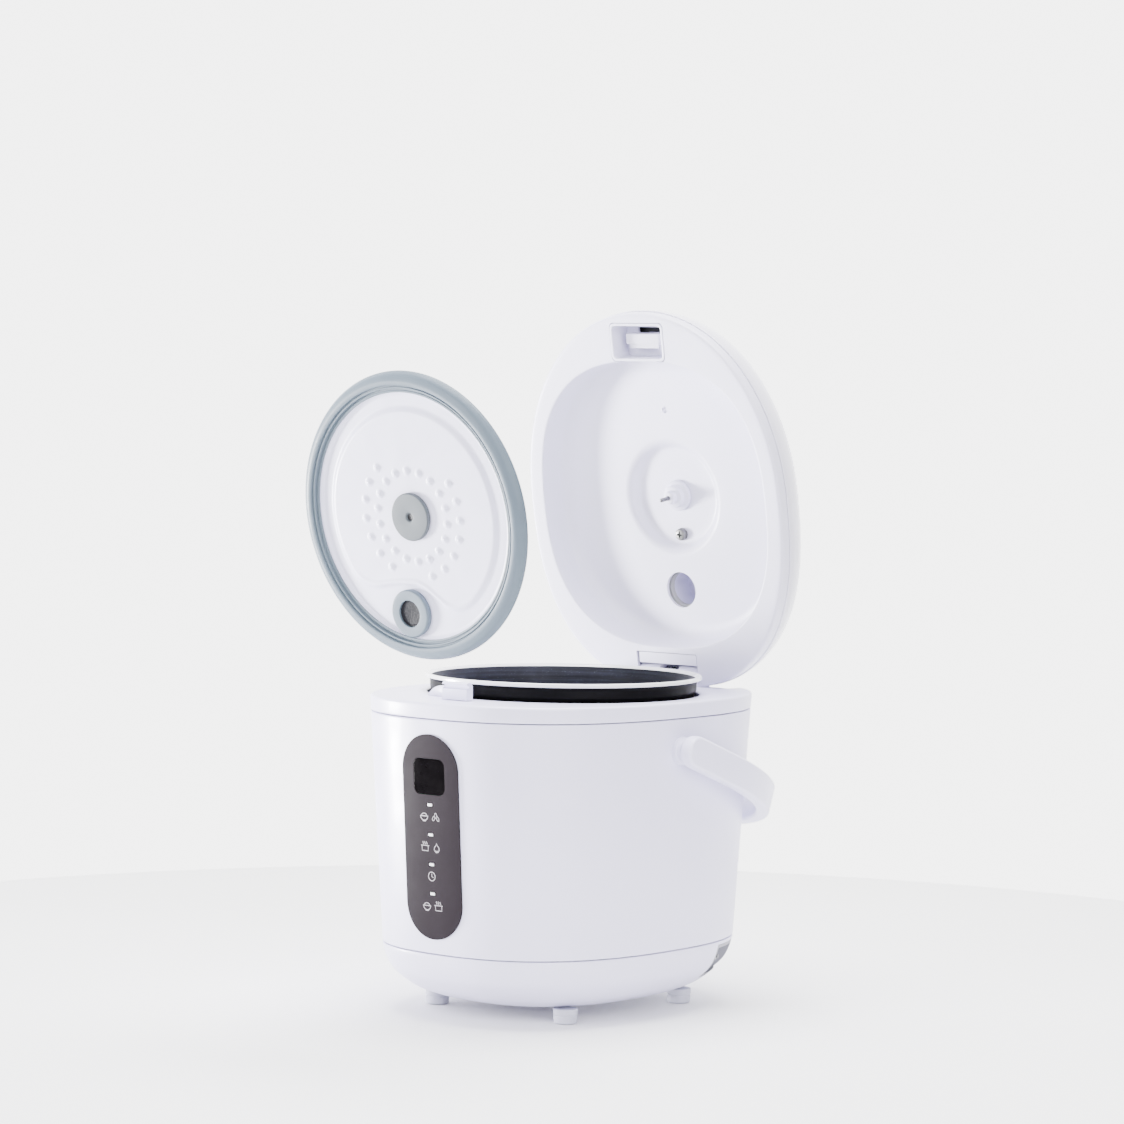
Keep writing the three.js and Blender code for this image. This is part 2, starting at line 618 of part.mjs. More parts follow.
function steamTube() {
  const { r, y } = STEAM;
  return turned([
    [r, RECESS.floor - 0.8], [r + 2, RECESS.floor - 0.8], [r + 2, 20.6], [r, 20.6], [r, RECESS.floor - 0.8],
  ], 20, at(0, y, 0));
}

const centrePost = () => turned([
  [0, WELL.floor - GAP], [9, WELL.floor - GAP], [9, WELL.floor - 2.4], [6.6, 17], [6.4, 14], [4, 13.4],
  [3.7, 10.2], [1.6, 10], [1.6, 15.5], [0, 15.5],
].reverse(), SMALL, at(0, WELL.y, 0));

function steamCap() {
  return turned([
    [11.8, 21.6], [13.6, 21.6], [13.6, 35.6], [STEAM.cap, 35.6], [STEAM.cap, 37.2], [STEAM.cap - 1.4, 38.4],
    [4, 38.8], [4, 36.6], [11.8, 36.2], [11.8, 21.6],
  ], 20, at(0, STEAM.y, 0));
}

function latchBar() {
  const { half, y0, y1, z0, z1 } = LATCH;
  const shape = roundedRect(0, (z0 + z1) / 2, half, (z1 - z0) / 2, 3);
  const beam = prismY(shape, y0, y1);
  const tooth = box(-half + 4, half - 4, y1 - 1, y1 + 2, z0 + 0.2, z0 + 1.6);
  const stem = box(-4, 4, y0 + 1.2, y1 - 0.6, z1 - 1, 13);
  return join(beam, tooth, stem);
}

function releaseButton() {
  const cap = bar("z", 1, 28, 36, 0, 0, 20, 0.94).scale([BUTTON.a, BUTTON.b, 1]);
  const stem = bar("z", 2.6, 21, 29, 0, 0, 16);
  return join(cap, stem).translate([0, BUTTON.y, 0]);
}

const wellScrew = () => cut(
  join(bar("z", 1.5, 18, 25, 0, 0, 10), bar("z", 3.1, 18, WELL.floor - GAP, 0, 0, 18, 3.4)),
  box(-0.5, 0.5, -2.2, 2.2, 17, 18.9),
  box(-2.2, 2.2, -0.5, 0.5, 17, 18.9),
).translate([0, SCREW_Y, 0]);

add(lid, "lid_outer_shell", lidOuterShell(), paint(WHITE, 0.2));
add(lid, "lid_liner", lidLiner(), paint(WHITE, 0.35));
add(lid, "recess_pan", recessPan(), paint(WHITE, 0.35));
add(lid, "latch_pocket", latchPocket(), paint(WHITE, 0.35));
add(lid, "steam_tube", steamTube(), paint(0xd5d5dc, 0.4));
add(lid, "hinge_cover", box(-21.9, 21.9, -9.7, -5.9, LID.face, LID.face + 1.4), paint(WHITE, 0.35));
add(lid, "centre_post", centrePost(), paint(WHITE, 0.35));
add(lid, "post_pin", bar("z", 1.2, 3.3, 15.2, 0, WELL.y, 14), paint(STEEL, 0.25, 1));
add(lid, "well_screw", wellScrew(), paint(STEEL, 0.3, 1));
add(lid, "steam_cap", steamCap(), paint(WHITE, 0.3));
add(lid, "latch_bar", latchBar(), paint(WHITE, 0.3));
add(lid, "release_button", releaseButton(), paint(0xd5d5dc, 0.35));
const underButton = at(0, BUTTON.y, 0);
add(lid, "button_spring", coil(4.4, 0.9, 17.6, 27.2, 4, underButton), paint(STEEL, 0.3, 1));

// ---- inner lid ----------------------------------------------------------------------------
// Its own frame is the lid's, with its origin at the disc's centre: -Z faces the pot.
const innerLid = new THREE.Group();
innerLid.position.set(OUT.x, OUT.y, OUT.z);
innerLid.rotation.x = lid.rotation.x;
innerLid.rotateZ((OUT.turn * Math.PI) / 180);
body.add(innerLid);

function innerDisc() {
  const { metal, vent } = DISC;
  const disc = turned([
    [0, -1.9], [56, -1.9], [59.5, -0.8], [65.4, -0.8], [67.4, -2.4], [metal, -2.4], [metal, -1.6],
    [68, -1.6], [66, 0], [59, 0], [55.6, -1.1], [0, -1.1],
  ]);
  const hub = bar("z", 9.4, -5, 5, 0, 0, 20);
  // a flat seat round the vent, let into the raised middle
  const seat = bar("z", 13.9, -1.9, 0, 0, -vent, 20);
  const sunk = bar("z", 13.4, -5, -0.8, 0, -vent, 20);
  const port = bar("z", 9.6, -6, 6, 0, -vent, 20);
  return cut(join(disc, seat), sunk, hub, port);
}

function gasket() {
  const { r, metal } = DISC;
  return turned([
    [metal - 2.4, -3.9], [metal + 1, -4.2], [metal + 2.4, -2.6], [metal + 4, -3.6], [r - 1.4, -3.2],
    [r, -1.8], [r, 0.4], [r - 1.6, 1], [metal + 1, 0.6], [metal - 2.4, -0.2], [metal - 2.4, -1.3],
    [metal + 0.3, -1.3], [metal + 0.3, -2.7], [metal - 2.4, -2.7], [metal - 2.4, -3.9],
  ]);
}

const grommet = () => turned([
  [2.2, -3.8], [3, -4.6], [11.6, -4.6], [13, -3.6], [13, -2.2], [9.1, -2.2], [9.1, -0.8], [11.8, -0.8],
  [11.8, 1.6], [3.9, 1.6], [2.2, -3.8],
], 20);

const ventSeal = () => turned([
  [7.3, -3.6], [12, -3.6], [13, -2.8], [13, -1.1], [9.3, -1.1], [9.3, 0.3], [12.4, 0.3], [12.4, 3.6],
  [10.4, 3.6], [10.4, 1.4], [7.3, 1.4], [7.3, -3.6],
], 20, at(0, -DISC.vent, 0));

add(innerLid, "inner_lid_disc", innerDisc(), paint(0xf0eff4, 0.4));
add(innerLid, "inner_lid_gasket", gasket(), paint(GREY, 0.5));
add(innerLid, "inner_lid_grommet", grommet(), paint(GREY, 0.5));
add(innerLid, "vent_seal", ventSeal(), paint(GREY, 0.5));
add(innerLid, "vent_strainer", bar("z", 7, -3.2, 0.8, 0, -DISC.vent, 20), paint(0x50505c, 0.5));

export default cooker;
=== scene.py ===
import json
import math

import bmesh
import bpy
import numpy as np
from mathutils import Matrix, Vector


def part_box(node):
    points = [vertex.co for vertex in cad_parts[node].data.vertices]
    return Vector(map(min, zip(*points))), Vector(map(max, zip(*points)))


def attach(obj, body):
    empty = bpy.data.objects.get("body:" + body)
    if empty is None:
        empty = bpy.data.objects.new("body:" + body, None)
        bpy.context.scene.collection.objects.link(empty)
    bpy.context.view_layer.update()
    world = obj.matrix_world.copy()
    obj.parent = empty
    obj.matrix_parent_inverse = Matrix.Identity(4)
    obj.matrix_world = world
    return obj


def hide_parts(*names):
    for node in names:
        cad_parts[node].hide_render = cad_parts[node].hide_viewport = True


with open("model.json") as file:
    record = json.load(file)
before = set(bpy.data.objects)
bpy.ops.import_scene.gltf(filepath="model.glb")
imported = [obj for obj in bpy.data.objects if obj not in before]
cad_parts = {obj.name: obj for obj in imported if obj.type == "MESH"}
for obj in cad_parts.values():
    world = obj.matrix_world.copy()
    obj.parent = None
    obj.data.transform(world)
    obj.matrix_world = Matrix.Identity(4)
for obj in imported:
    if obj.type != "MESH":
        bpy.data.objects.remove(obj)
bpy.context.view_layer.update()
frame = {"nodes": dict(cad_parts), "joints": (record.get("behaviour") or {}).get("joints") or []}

# A small rice cooker: lid open, inner lid held out in front, carrying handle lying back.
# Meshes are made in millimetres in the frame of the group they belong to, and scaled to metres.
MM = 0.001
FINE = 256  # points round an outline
LID_OPEN = 80  # degrees from shut
HANDLE_SAG = 20.3  # degrees below level, lying back
DISC_TURN = 8.5  # degrees of the inner lid on its grommet
scene = bpy.context.scene
joints = {j["name"]: j for j in frame["joints"]}


# ---- the groups' frames -------------------------------------------------------------------
def centre_of(node):
    low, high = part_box(node)
    return (low + high) / 2


def tilted(degrees, point):
    return Matrix.Translation(Vector(point)) @ Matrix.Rotation(math.radians(degrees), 4, "X")


BODY = Matrix.Translation((0, centre_of("inner_pot").y, 0))
LID = tilted(-LID_OPEN, joints["lid_hinge"]["pos_m"])
HANDLE = tilted(-HANDLE_SAG, joints["handle_swing"]["pos_m"])
INNER = tilted(-LID_OPEN, joints["inner_lid_turn"]["pos_m"])
INNER = INNER @ Matrix.Rotation(math.radians(DISC_TURN), 4, "Z")
ALONG_X = Matrix.Rotation(math.radians(90), 4, "Y")  # turns a piece's +Z to +X
MIRROR_X = Matrix.Scale(-1, 4, (1, 0, 0))
SIDES = (("left", -1), ("right", 1))


# ---- outlines and profiles ----------------------------------------------------------------
def outline(a, back, n, front=None, n_front=None, mid=0.0, count=FINE):
    """A superellipse as x, y pairs; its front half may have its own length and exponent."""
    t = np.linspace(0, 2 * np.pi, count, endpoint=False)
    c, s = np.cos(t), np.sin(t)
    power = np.where(s < 0, n_front or n, n)
    reach = np.where(s < 0, front or back, back)
    x = a * np.sign(c) * np.abs(c) ** (2 / power)
    return np.column_stack([x, mid + reach * np.sign(s) * np.abs(s) ** (2 / power)])


def circle(r, x=0.0, y=0.0, count=FINE):
    return outline(r, r, 2, count=count) + [x, y]


def rounded(half_x, half_y, r, mid=(0.0, 0.0), corner=12):
    """A rectangle with round corners as x, y pairs."""
    points = []
    for quarter, (sx, sy) in enumerate([(1, 1), (-1, 1), (-1, -1), (1, -1)]):
        for k in range(corner + 1):
            t = math.pi / 2 * (quarter + k / corner)
            points.append((sx * (half_x - r) + r * math.cos(t), sy * (half_y - r) + r * math.sin(t)))
    return np.array(points) + mid


def level(points, z):
    """A flat outline lifted to a height."""
    return np.column_stack([points, np.full(len(points), z)])


def soften(points, radii, steps=5, closed=False):
    """A line with its corners rounded, each over its own length."""
    points = [np.array(p, float) for p in points]
    if np.isscalar(radii):
        radii = [radii] * len(points)
    made = []
    for i, p in enumerate(points):
        ends = not closed and i in (0, len(points) - 1)
        if ends or radii[i] == 0:
            made.append(p)
            continue
        before, after = points[i - 1], points[(i + 1) % len(points)]
        back, on = np.linalg.norm(before - p), np.linalg.norm(after - p)
        reach = min(radii[i], 0.47 * back, 0.47 * on)
        start, stop = p + (before - p) / back * reach, p + (after - p) / on * reach
        for k in range(steps + 1):
            t = k / steps
            made.append((1 - t) ** 2 * start + 2 * t * (1 - t) * p + t * t * stop)
    return made


# ---- meshes -------------------------------------------------------------------------------
def mesh_of(verts, faces):
    mesh = bpy.data.meshes.new("part")
    mesh.from_pydata([tuple(map(float, v)) for v in verts], [], faces)
    tidy = bmesh.new()
    tidy.from_mesh(mesh)
    bmesh.ops.remove_doubles(tidy, verts=tidy.verts, dist=1e-4)
    bmesh.ops.dissolve_degenerate(tidy, edges=tidy.edges, dist=1e-4)
    bmesh.ops.recalc_face_normals(tidy, faces=tidy.faces)
    tidy.to_mesh(mesh)
    tidy.free()
    return mesh


def loft(rings, loop=False):
    """A skin through rings of equally many points, closed on itself or with two flat ends."""
    count = len(rings[0])
    faces = []
    for j in range(len(rings) if loop else len(rings) - 1):
        low, high = j * count, (j + 1) % len(rings) * count
        for i in range(count):
            k = (i + 1) % count
            faces.append((low + i, low + k, high + k, high + i))
    if not loop:
        last = (len(rings) - 1) * count
        faces.append(tuple(range(count - 1, -1, -1)))
        faces.append(tuple(range(last, last + count)))
    return mesh_of(np.vstack(rings), faces)


def turned(profile, x=0.0, y=0.0, count=96):
    """A turned piece about +Z from a closed half section of radius, height pairs."""
    return loft([level(circle(max(r, 0), x, y, count), z) for r, z in profile], loop=True)


def moved(mesh, matrix):
    mesh.transform(matrix)
    if matrix.determinant() < 0:
        mesh.flip_normals()
    return mesh


def shifted(mesh, x=0.0, y=0.0, z=0.0):
    return moved(mesh, Matrix.Translation((x, y, z)))


def spun(mesh, degrees, axis):
    return moved(mesh, Matrix.Rotation(math.radians(degrees), 4, axis))


def turned_along_x(profile, count):
    return moved(turned(profile, count=count), ALONG_X)


def block(x0, x1, y0, y1, z0, z1, r=0.6, corner=4):
    """A block with all its edges rounded."""
    mid = ((x0 + x1) / 2, (y0 + y1) / 2)
    hx, hy = (x1 - x0) / 2, (y1 - y0) / 2
    rings = []
    for inset, z in soften([(r, z0), (0, z0), (0, z1), (r, z1)], [0, r, r, 0], corner):
        rings.append(level(rounded(hx - inset, hy - inset, max(r - inset, 0.05), mid, corner), z))
    return loft(rings)


def prism(points, axis, start, stop):
    """A flat outline drawn out along an axis, for cutting."""
    rings = [level(points, start), level(points, stop)]
    order = {"x": [2, 0, 1], "y": [0, 2, 1], "z": [0, 1, 2]}[axis]
    return loft([ring[:, order] for ring in rings])


def carve(mesh, *tools, how="DIFFERENCE"):
    """The mesh with the tools cut from it, or joined to it."""
    holder = bpy.data.objects.new("carved", mesh)
    scene.collection.objects.link(holder)
    helpers = []
    for tool in tools:
        helper = bpy.data.objects.new("tool", tool)
        scene.collection.objects.link(helper)
        helpers.append(helper)
        step = holder.modifiers.new("step", "BOOLEAN")
        step.operation = how
        step.solver = "EXACT"
        step.object = helper
    bpy.context.view_layer.update()
    graph = bpy.context.evaluated_depsgraph_get()
    made = bpy.data.meshes.new_from_object(holder.evaluated_get(graph))
    for spare in [holder, *helpers]:
        data = spare.data
        bpy.data.objects.remove(spare)
        bpy.data.meshes.remove(data)
    return made


def put(name, mesh, where, body, material, nodes, sharp=34):
    """Places a finished mesh as a piece; edges sharper than an angle in degrees stay crisp."""
    mesh.name = name
    mesh.transform(Matrix.Scale(MM, 4))
    for each in material if isinstance(material, list) else [material]:
        mesh.materials.append(each)
    mesh.polygons.foreach_set("use_smooth", [True] * len(mesh.polygons))
    piece = bpy.data.objects.new(name, mesh)
    scene.collection.objects.link(piece)
    piece.matrix_world = where
    mesh.set_sharp_from_angle(angle=math.radians(sharp))
    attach(piece, body)
    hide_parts(*nodes)


# ---- materials ----------------------------------------------------------------------------
class Paint:
    """A material under construction: its tree, its shader and its object coordinates."""

    def __init__(self, name):
        self.material = bpy.data.materials.new(name)
        self.material.use_nodes = True
        self.tree = self.material.node_tree
        self.shader = self.tree.nodes["Principled BSDF"]
        self.coords = self.tree.nodes.new("ShaderNodeTexCoord").outputs["Object"]

    def link(self, source, target):
        self.tree.links.new(source, target)

    def set(self, **values):
        for key, value in values.items():
            self.shader.inputs[key.replace("_", " ")].default_value = value

    def stretched(self, x, y, z):
        node = self.tree.nodes.new("ShaderNodeMapping")
        node.inputs["Scale"].default_value = (x, y, z)
        self.link(self.coords, node.inputs["Vector"])
        return node.outputs["Vector"]

    def noise(self, scale, detail=3.0, coords=None):
        node = self.tree.nodes.new("ShaderNodeTexNoise")
        node.inputs["Scale"].default_value = scale
        node.inputs["Detail"].default_value = detail
        self.link(coords or self.coords, node.inputs["Vector"])
        return node.outputs["Fac"]

    def cells(self, scale):
        node = self.tree.nodes.new("ShaderNodeTexVoronoi")
        node.inputs["Scale"].default_value = scale
        self.link(self.coords, node.inputs["Vector"])
        return node.outputs["Distance"]

    def ramp(self, value, *stops):
        node = self.tree.nodes.new("ShaderNodeValToRGB")
        points = node.color_ramp.elements
        while len(points) < len(stops):
            points.new(0.5)
        for point, (place, colour) in zip(points, stops):
            point.position = place
            point.color = (*colour, 1)
        self.link(value, node.inputs["Fac"])
        return node.outputs["Color"]

    def mix(self, share, first, second, how="MIX"):
        node = self.tree.nodes.new("ShaderNodeMix")
        node.data_type = "RGBA"
        node.blend_type = how
        self.link(share, node.inputs[0])
        self.link(first, node.inputs[6])
        self.link(second, node.inputs[7])
        return node.outputs[2]

    def colour(self, value):
        self.link(value, self.shader.inputs["Base Color"])

    def rough(self, value, low, high):
        node = self.tree.nodes.new("ShaderNodeMapRange")
        node.inputs["From Min"].default_value = 0.3
        node.inputs["From Max"].default_value = 0.7
        node.inputs["To Min"].default_value = low
        node.inputs["To Max"].default_value = high
        self.link(value, node.inputs["Value"])
        self.link(node.outputs["Result"], self.shader.inputs["Roughness"])

    def bump(self, value, depth_mm, strength=1.0):
        node = self.tree.nodes.new("ShaderNodeBump")
        node.inputs["Distance"].default_value = depth_mm * MM
        node.inputs["Strength"].default_value = strength
        self.link(value, node.inputs["Height"])
        self.link(node.outputs["Normal"], self.shader.inputs["Normal"])


def moulded(name, light, shade, rough, grain=900, depth=0.01, coat=0.0, gloss=0.5):
    """Moulded plastic: faint clouding, uneven sheen and a fine skin."""
    paint = Paint(name)
    cloud = paint.noise(24)
    paint.colour(paint.ramp(cloud, (0.35, shade), (0.65, light)))
    paint.rough(paint.noise(70), *rough)
    paint.bump(paint.noise(grain, 2), depth)
    paint.set(Coat_Weight=coat, Coat_Roughness=0.12, Specular_IOR_Level=gloss)
    return paint.material


def metal(name, light, shade, rough, stretch=(40, 40, 1400)):
    """Metal with fine drawn lines and a little tarnish."""
    paint = Paint(name)
    lines = paint.noise(1, 3, paint.stretched(*stretch))
    tarnish = paint.noise(45)
    bright = paint.ramp(lines, (0.3, shade), (0.7, light))
    dull = paint.ramp(tarnish, (0.35, (0.72, 0.72, 0.72)), (0.65, (1, 1, 1)))
    paint.colour(paint.mix(paint.noise(18), bright, dull, "MULTIPLY"))
    paint.rough(tarnish, *rough)
    paint.bump(lines, 0.01)
    paint.set(Metallic=1.0)
    return paint.material


def pot_coating():
    """Dark non-stick coating with pale specks and turned streaks."""
    paint = Paint("pot_coating")
    speck = paint.cells(900)
    dark = paint.ramp(paint.noise(60), (0.3, (0.007, 0.0075, 0.012)), (0.7, (0.012, 0.013, 0.020)))
    pale = paint.ramp(speck, (0.0, (0.12, 0.13, 0.16)), (0.16, (0.003, 0.003, 0.005)))
    streak = paint.noise(1, 3, paint.stretched(12, 12, 700))
    bands = paint.ramp(streak, (0.38, (0.30, 0.30, 0.34)), (0.62, (1.9, 1.9, 1.9)))
    share = paint.noise(30)
    paint.colour(paint.mix(share, paint.mix(streak, dark, pale, "ADD"), bands, "MULTIPLY"))
    paint.rough(streak, 0.42, 0.6)
    paint.set(Specular_IOR_Level=0.12)
    paint.bump(speck, 0.02, 0.5)
    return paint.material


def board(name):
    """A printed board: green mask with tracks and pads."""
    paint = Paint(name)
    tracks = paint.cells(260)
    mask = paint.ramp(paint.noise(120), (0.3, (0.01, 0.10, 0.04)), (0.7, (0.02, 0.16, 0.07)))
    copper = paint.ramp(tracks, (0.02, (0.55, 0.50, 0.32)), (0.10, (0.02, 0.17, 0.07)))
    bare = paint.ramp(paint.noise(90), (0.5, (0, 0, 0)), (0.55, (1, 1, 1)))
    paint.colour(paint.mix(bare, mask, copper))
    paint.rough(tracks, 0.35, 0.6)
    paint.bump(tracks, 0.04)
    return paint.material


def dark_glass():
    """The display's smoked pane, with faint haze."""
    paint = Paint("display_black")
    haze = paint.noise(160)
    paint.colour(paint.ramp(haze, (0.3, (0.0020, 0.0016, 0.0021)), (0.7, (0.0026, 0.0021, 0.0027))))
    paint.rough(haze, 0.08, 0.16)
    paint.bump(paint.noise(700, 2), 0.002)
    paint.set(Specular_IOR_Level=0.05)
    return paint.material


def strainer():
    """A dark disc pierced by fine holes."""
    paint = Paint("strainer_dark")
    holes = paint.cells(1100)
    paint.colour(paint.ramp(holes, (0.18, (0.006, 0.006, 0.009)), (0.32, (0.009, 0.009, 0.013))))
    paint.rough(paint.noise(300), 0.45, 0.65)
    paint.set(Specular_IOR_Level=0.1)
    paint.bump(holes, 0.1)
    return paint.material


def floor_paint():
    paint = Paint("studio_floor")
    paint.colour(paint.ramp(paint.noise(3), (0.3, (0.90, 0.90, 0.91)), (0.7, (0.93, 0.93, 0.94))))
    paint.rough(paint.noise(8), 0.7, 0.9)
    return paint.material


# each moulded finish: its light and dark tint, roughness, grain, depth, then coat or gloss
BODY_WHITE = moulded("body_white", (0.71, 0.69, 0.89), (0.70, 0.68, 0.88), (0.3, 0.42), coat=0.08)
LID_WHITE = moulded("lid_white", (0.76, 0.74, 0.86), (0.75, 0.73, 0.85), (0.14, 0.24), 700, 0.006, 0.5)
LINER_WHITE = moulded(
    "liner_white", (0.735, 0.72, 0.875), (0.725, 0.71, 0.865), (0.34, 0.46), 1200, 0.012
)
INNER_WHITE = moulded(
    "inner_lid_white", (0.73, 0.72, 0.90), (0.72, 0.71, 0.89), (0.30, 0.42), 1500, 0.008
)
SILICONE = moulded(
    "silicone_grey", (0.118, 0.152, 0.192), (0.110, 0.143, 0.181), (0.38, 0.52), 1600, 0.015, gloss=0.25
)
GROMMET = moulded(
    "grommet_grey", (0.088, 0.102, 0.118), (0.082, 0.095, 0.110), (0.4, 0.55), 1600, 0.015, gloss=0.25
)
PANEL_GREY = moulded(
    "panel_grey", (0.0175, 0.0138, 0.0176), (0.0162, 0.0127, 0.0163), (0.5, 0.6), 1800, 0.01, gloss=0.03
)
KEY_WHITE = moulded("key_white", (0.30, 0.28, 0.31), (0.26, 0.24, 0.27), (0.40, 0.55), 1500, 0.01)
LIGHT_WHITE = moulded("light_white", (0.96, 0.96, 0.98), (0.90, 0.90, 0.94), (0.20, 0.35), 1500, 0.005)
BUTTON_GREY = moulded("button_grey", (0.40, 0.40, 0.42), (0.37, 0.37, 0.39), (0.28, 0.40), 1100, 0.01)
SOCKET_GREY = moulded("socket_grey", (0.28, 0.28, 0.33), (0.25, 0.25, 0.30), (0.40, 0.55), 1000, 0.02)
FOOT_RUBBER = moulded("foot_rubber", (0.50, 0.50, 0.60), (0.46, 0.46, 0.56), (0.62, 0.8), 1300, 0.04)
CERAMIC = moulded("ceramic_white", (0.74, 0.73, 0.68), (0.64, 0.63, 0.58), (0.5, 0.7), 900, 0.03)
# black of the display module, also used for the dark sheets of painted shadow in the latch slot and the
# grommet's bore
MODULE_AND_SHADOW_BLACK = moulded("module_and_shadow_black", (0.035, 0.035, 0.04), (0.02, 0.02, 0.024), (0.4, 0.55), 1200, 0.02)
PLATED = metal("plated_steel", (0.66, 0.67, 0.70), (0.50, 0.51, 0.54), (0.28, 0.42))
HEATER = metal("heater_metal", (0.60, 0.61, 0.62), (0.46, 0.46, 0.48), (0.42, 0.6), (500, 500, 500))
SPRING = metal("spring_steel", (0.62, 0.62, 0.66), (0.46, 0.46, 0.50), (0.22, 0.36), (600, 600, 600))
SCREW = metal("screw_steel", (0.22, 0.22, 0.22), (0.12, 0.12, 0.12), (0.3, 0.45), (300, 300, 300))
PIN = metal("pin_steel", (0.24, 0.24, 0.25), (0.12, 0.12, 0.13), (0.2, 0.34))
RIM = moulded("rim_bright", (0.86, 0.86, 0.88), (0.82, 0.82, 0.84), (0.2, 0.3), 2500, 0.004, 0.4)
COATING = pot_coating()
POT_BLACK = moulded(
    "pot_outside", (0.003, 0.003, 0.0035), (0.0015, 0.0015, 0.002), (0.4, 0.55), 1400, 0.02, gloss=0.06
)
GLASS = dark_glass()
STRAINER = strainer()
BOARD = board("circuit_board")


# ---- body shells --------------------------------------------------------------------------
BOTTOM, TOP = 38.3, 167.3
COLLAR_TOP = 176.3
BODY_N = 2.52  # the outline's exponent
WALL = 2.4
JOINT = 0.25  # half of the gap between two shells
PIVOT_Y, PIVOT_Z = -3.5, 149.5  # the handle's pivots
HINGE_Y, HINGE_Z = 99.7, 182.1
SCREW_X, SCREW_Y = 24, 40


def body_size(z):
    share = (z - BOTTOM) / (TOP - BOTTOM)
    return 82 + 6.6 * share, 104.5 + 8.9 * share


def body_ring(inset, z):
    a, b = body_size(z)
    return level(outline(a - inset, b - inset, BODY_N), z)


def pivot_bore(r, reach=100):
    bore = turned_along_x([(0, -reach), (r, -reach), (r, reach), (0, reach)], 64)
    return shifted(bore, 0, PIVOT_Y, PIVOT_Z)


section = soften(
    [(0, BOTTOM + JOINT), (0, TOP - JOINT), (WALL, TOP - JOINT), (WALL, BOTTOM + JOINT)],
    [0.9, 0.9, 0.3, 0.3], 4, True,
)
shell = loft([body_ring(inset, z) for inset, z in section], loop=True)
hatch = prism(rounded(15, 47.5, 4, (0, 102)), "y", -120, -90)
shell = carve(shell, hatch, pivot_bore(6.3))
put("body_shell", shell, BODY, "body", BODY_WHITE, ["outer_shell"])

outside = soften([(0, TOP + JOINT), (0, COLLAR_TOP), (4, COLLAR_TOP)], [0, 2.6, 0], 7)
skirt = soften([(3, TOP + JOINT), (0, TOP + JOINT), (0, 171)], [0, 0.9, 0], 4)
outside = skirt[:-1] + outside[1:]
bore = soften(
    [(79, COLLAR_TOP), (76.6, COLLAR_TOP), (76.6, 173.6), (80.8, 173.6), (80.8, TOP + JOINT)],
    [0, 1, 0.4, 0, 0],
)
rings = [body_ring(inset, z) for inset, z in outside] + [level(circle(r), z) for r, z in bore]
dip = block(-47, 47, 86, 109, 172.4, 182, 1.0)
sill = block(-47, 47, 107, 135, 174.4, 182, 0.8)
collar = carve(loft(rings, loop=True), dip, sill)
put("rim_collar", collar, BODY, "body", BODY_WHITE, ["top_collar"])


def base_ring(share, inset, z):
    """The base's outline at a height, its share being a percentage of the full size."""
    return level(outline(0.82 * share - inset, 1.045 * share - inset, BODY_N), z)


slope = soften([(68, 8.6), (81, 13), (89, 18.5), (95, 24), (98.5, 31), (100, 37.2)], 20, 6)
slope = soften([(60, 8.6), (68, 8.6), (74, 10.6)], [0, 3, 0], 5)[:-1] + slope[1:]
lip = [(100, 0.2, 37.9), (100, 0.8, 38.1), (100, 1.8, 38.1), (100, 2.4, 37.6)]
inner_wall = [(share, 2.4, z + 2.4) for share, z in reversed(slope) if z < 35]
rings = [base_ring(share, 0, z) for share, z in slope] + [base_ring(*at) for at in lip + inner_wall]


def at_inlet(mesh):
    """Turns a mesh to face out of the base's rear right corner."""
    return shifted(spun(mesh, -63, "Z"), 68.5, 62.5)


pocket = at_inlet(block(-18.3, 18.3, -17, 30, 17, 36.3, 1.5))
vents = [block(-14, 14, y - 1.5, y + 1.5, 0, 12.5, 1.2) for y in (-12, 0, 12)]
screw_holes = [
    turned([(0, 0), (2, 0), (2, 14), (0, 14)], sign * SCREW_X, SCREW_Y, 32) for _, sign in SIDES
]
cup = carve(loft(rings), pocket, *vents, *screw_holes)
put("base_bowl", cup, BODY, "body", BODY_WHITE, ["base_cup"])

foot = soften(
    [(0, 0), (6.4, 0), (6.6, 4), (6.2, 4.6), (6.7, 5.2), (6.8, 8.2), (0, 8.2)],
    [0, 1.1, 0.3, 0.3, 0.3, 0.3, 0],
)
for end, y in (("front", -50), ("rear", 50)):
    for side, sign in SIDES:
        name = f"foot_{end}_{side}"
        rubber = turned(foot, sign * 47, y, 48)
        put("rubber_" + name, rubber, BODY, "body", FOOT_RUBBER, [name])

# screws under the base
profile = soften(
    [(0, 18), (1.6, 17.4), (1.6, 8.3), (3.2, 8.3), (3.2, 7), (0, 6.4)], [0, 0.2, 0, 0.1, 0.5, 0], 3
)
for side, sign in SIDES:
    x = sign * SCREW_X
    screw = turned(profile, x, SCREW_Y, 32)
    slot = block(x - 2.4, x + 2.4, SCREW_Y - 0.5, SCREW_Y + 0.5, 5, 7.3, 0.1)
    name = f"base_screw_{side}"
    put("slotted_" + name, carve(screw, slot), BODY, "body", PLATED, [name])


# ---- front panel --------------------------------------------------------------------------
PANEL_Z = 102.85
DISPLAY_Z = 136
LIGHT_Z = (120.6, 104.2, 87.9, 71.8)
MARK_Z = (114, 97.2, 81.4, 64.8)
MARK_X = 4.2


def on_front(points, off):
    """Points given as x, z laid on the shell's front face, off it by a distance."""
    made = []
    for x, z in points:
        a, b = body_size(z)
        made.append((x, -b * (1 - (abs(x) / a) ** BODY_N) ** (1 / BODY_N) - off, z))
    return np.array(made)


def laid(shape, widths, from_off, to_off, edge):
    """A skin on the front: shape gives the outline at an inset; widths are the insets of its rings."""
    rings = [on_front(shape(i), from_off) for i in reversed(widths)]
    rim = soften([(0, 0), (0, edge), (edge, edge)], [0, edge, 0])
    rings += [on_front(shape(i), to_off - edge + off) for i, off in rim]
    rings += [on_front(shape(i), to_off) for i in widths if i > edge]
    return loft(rings)


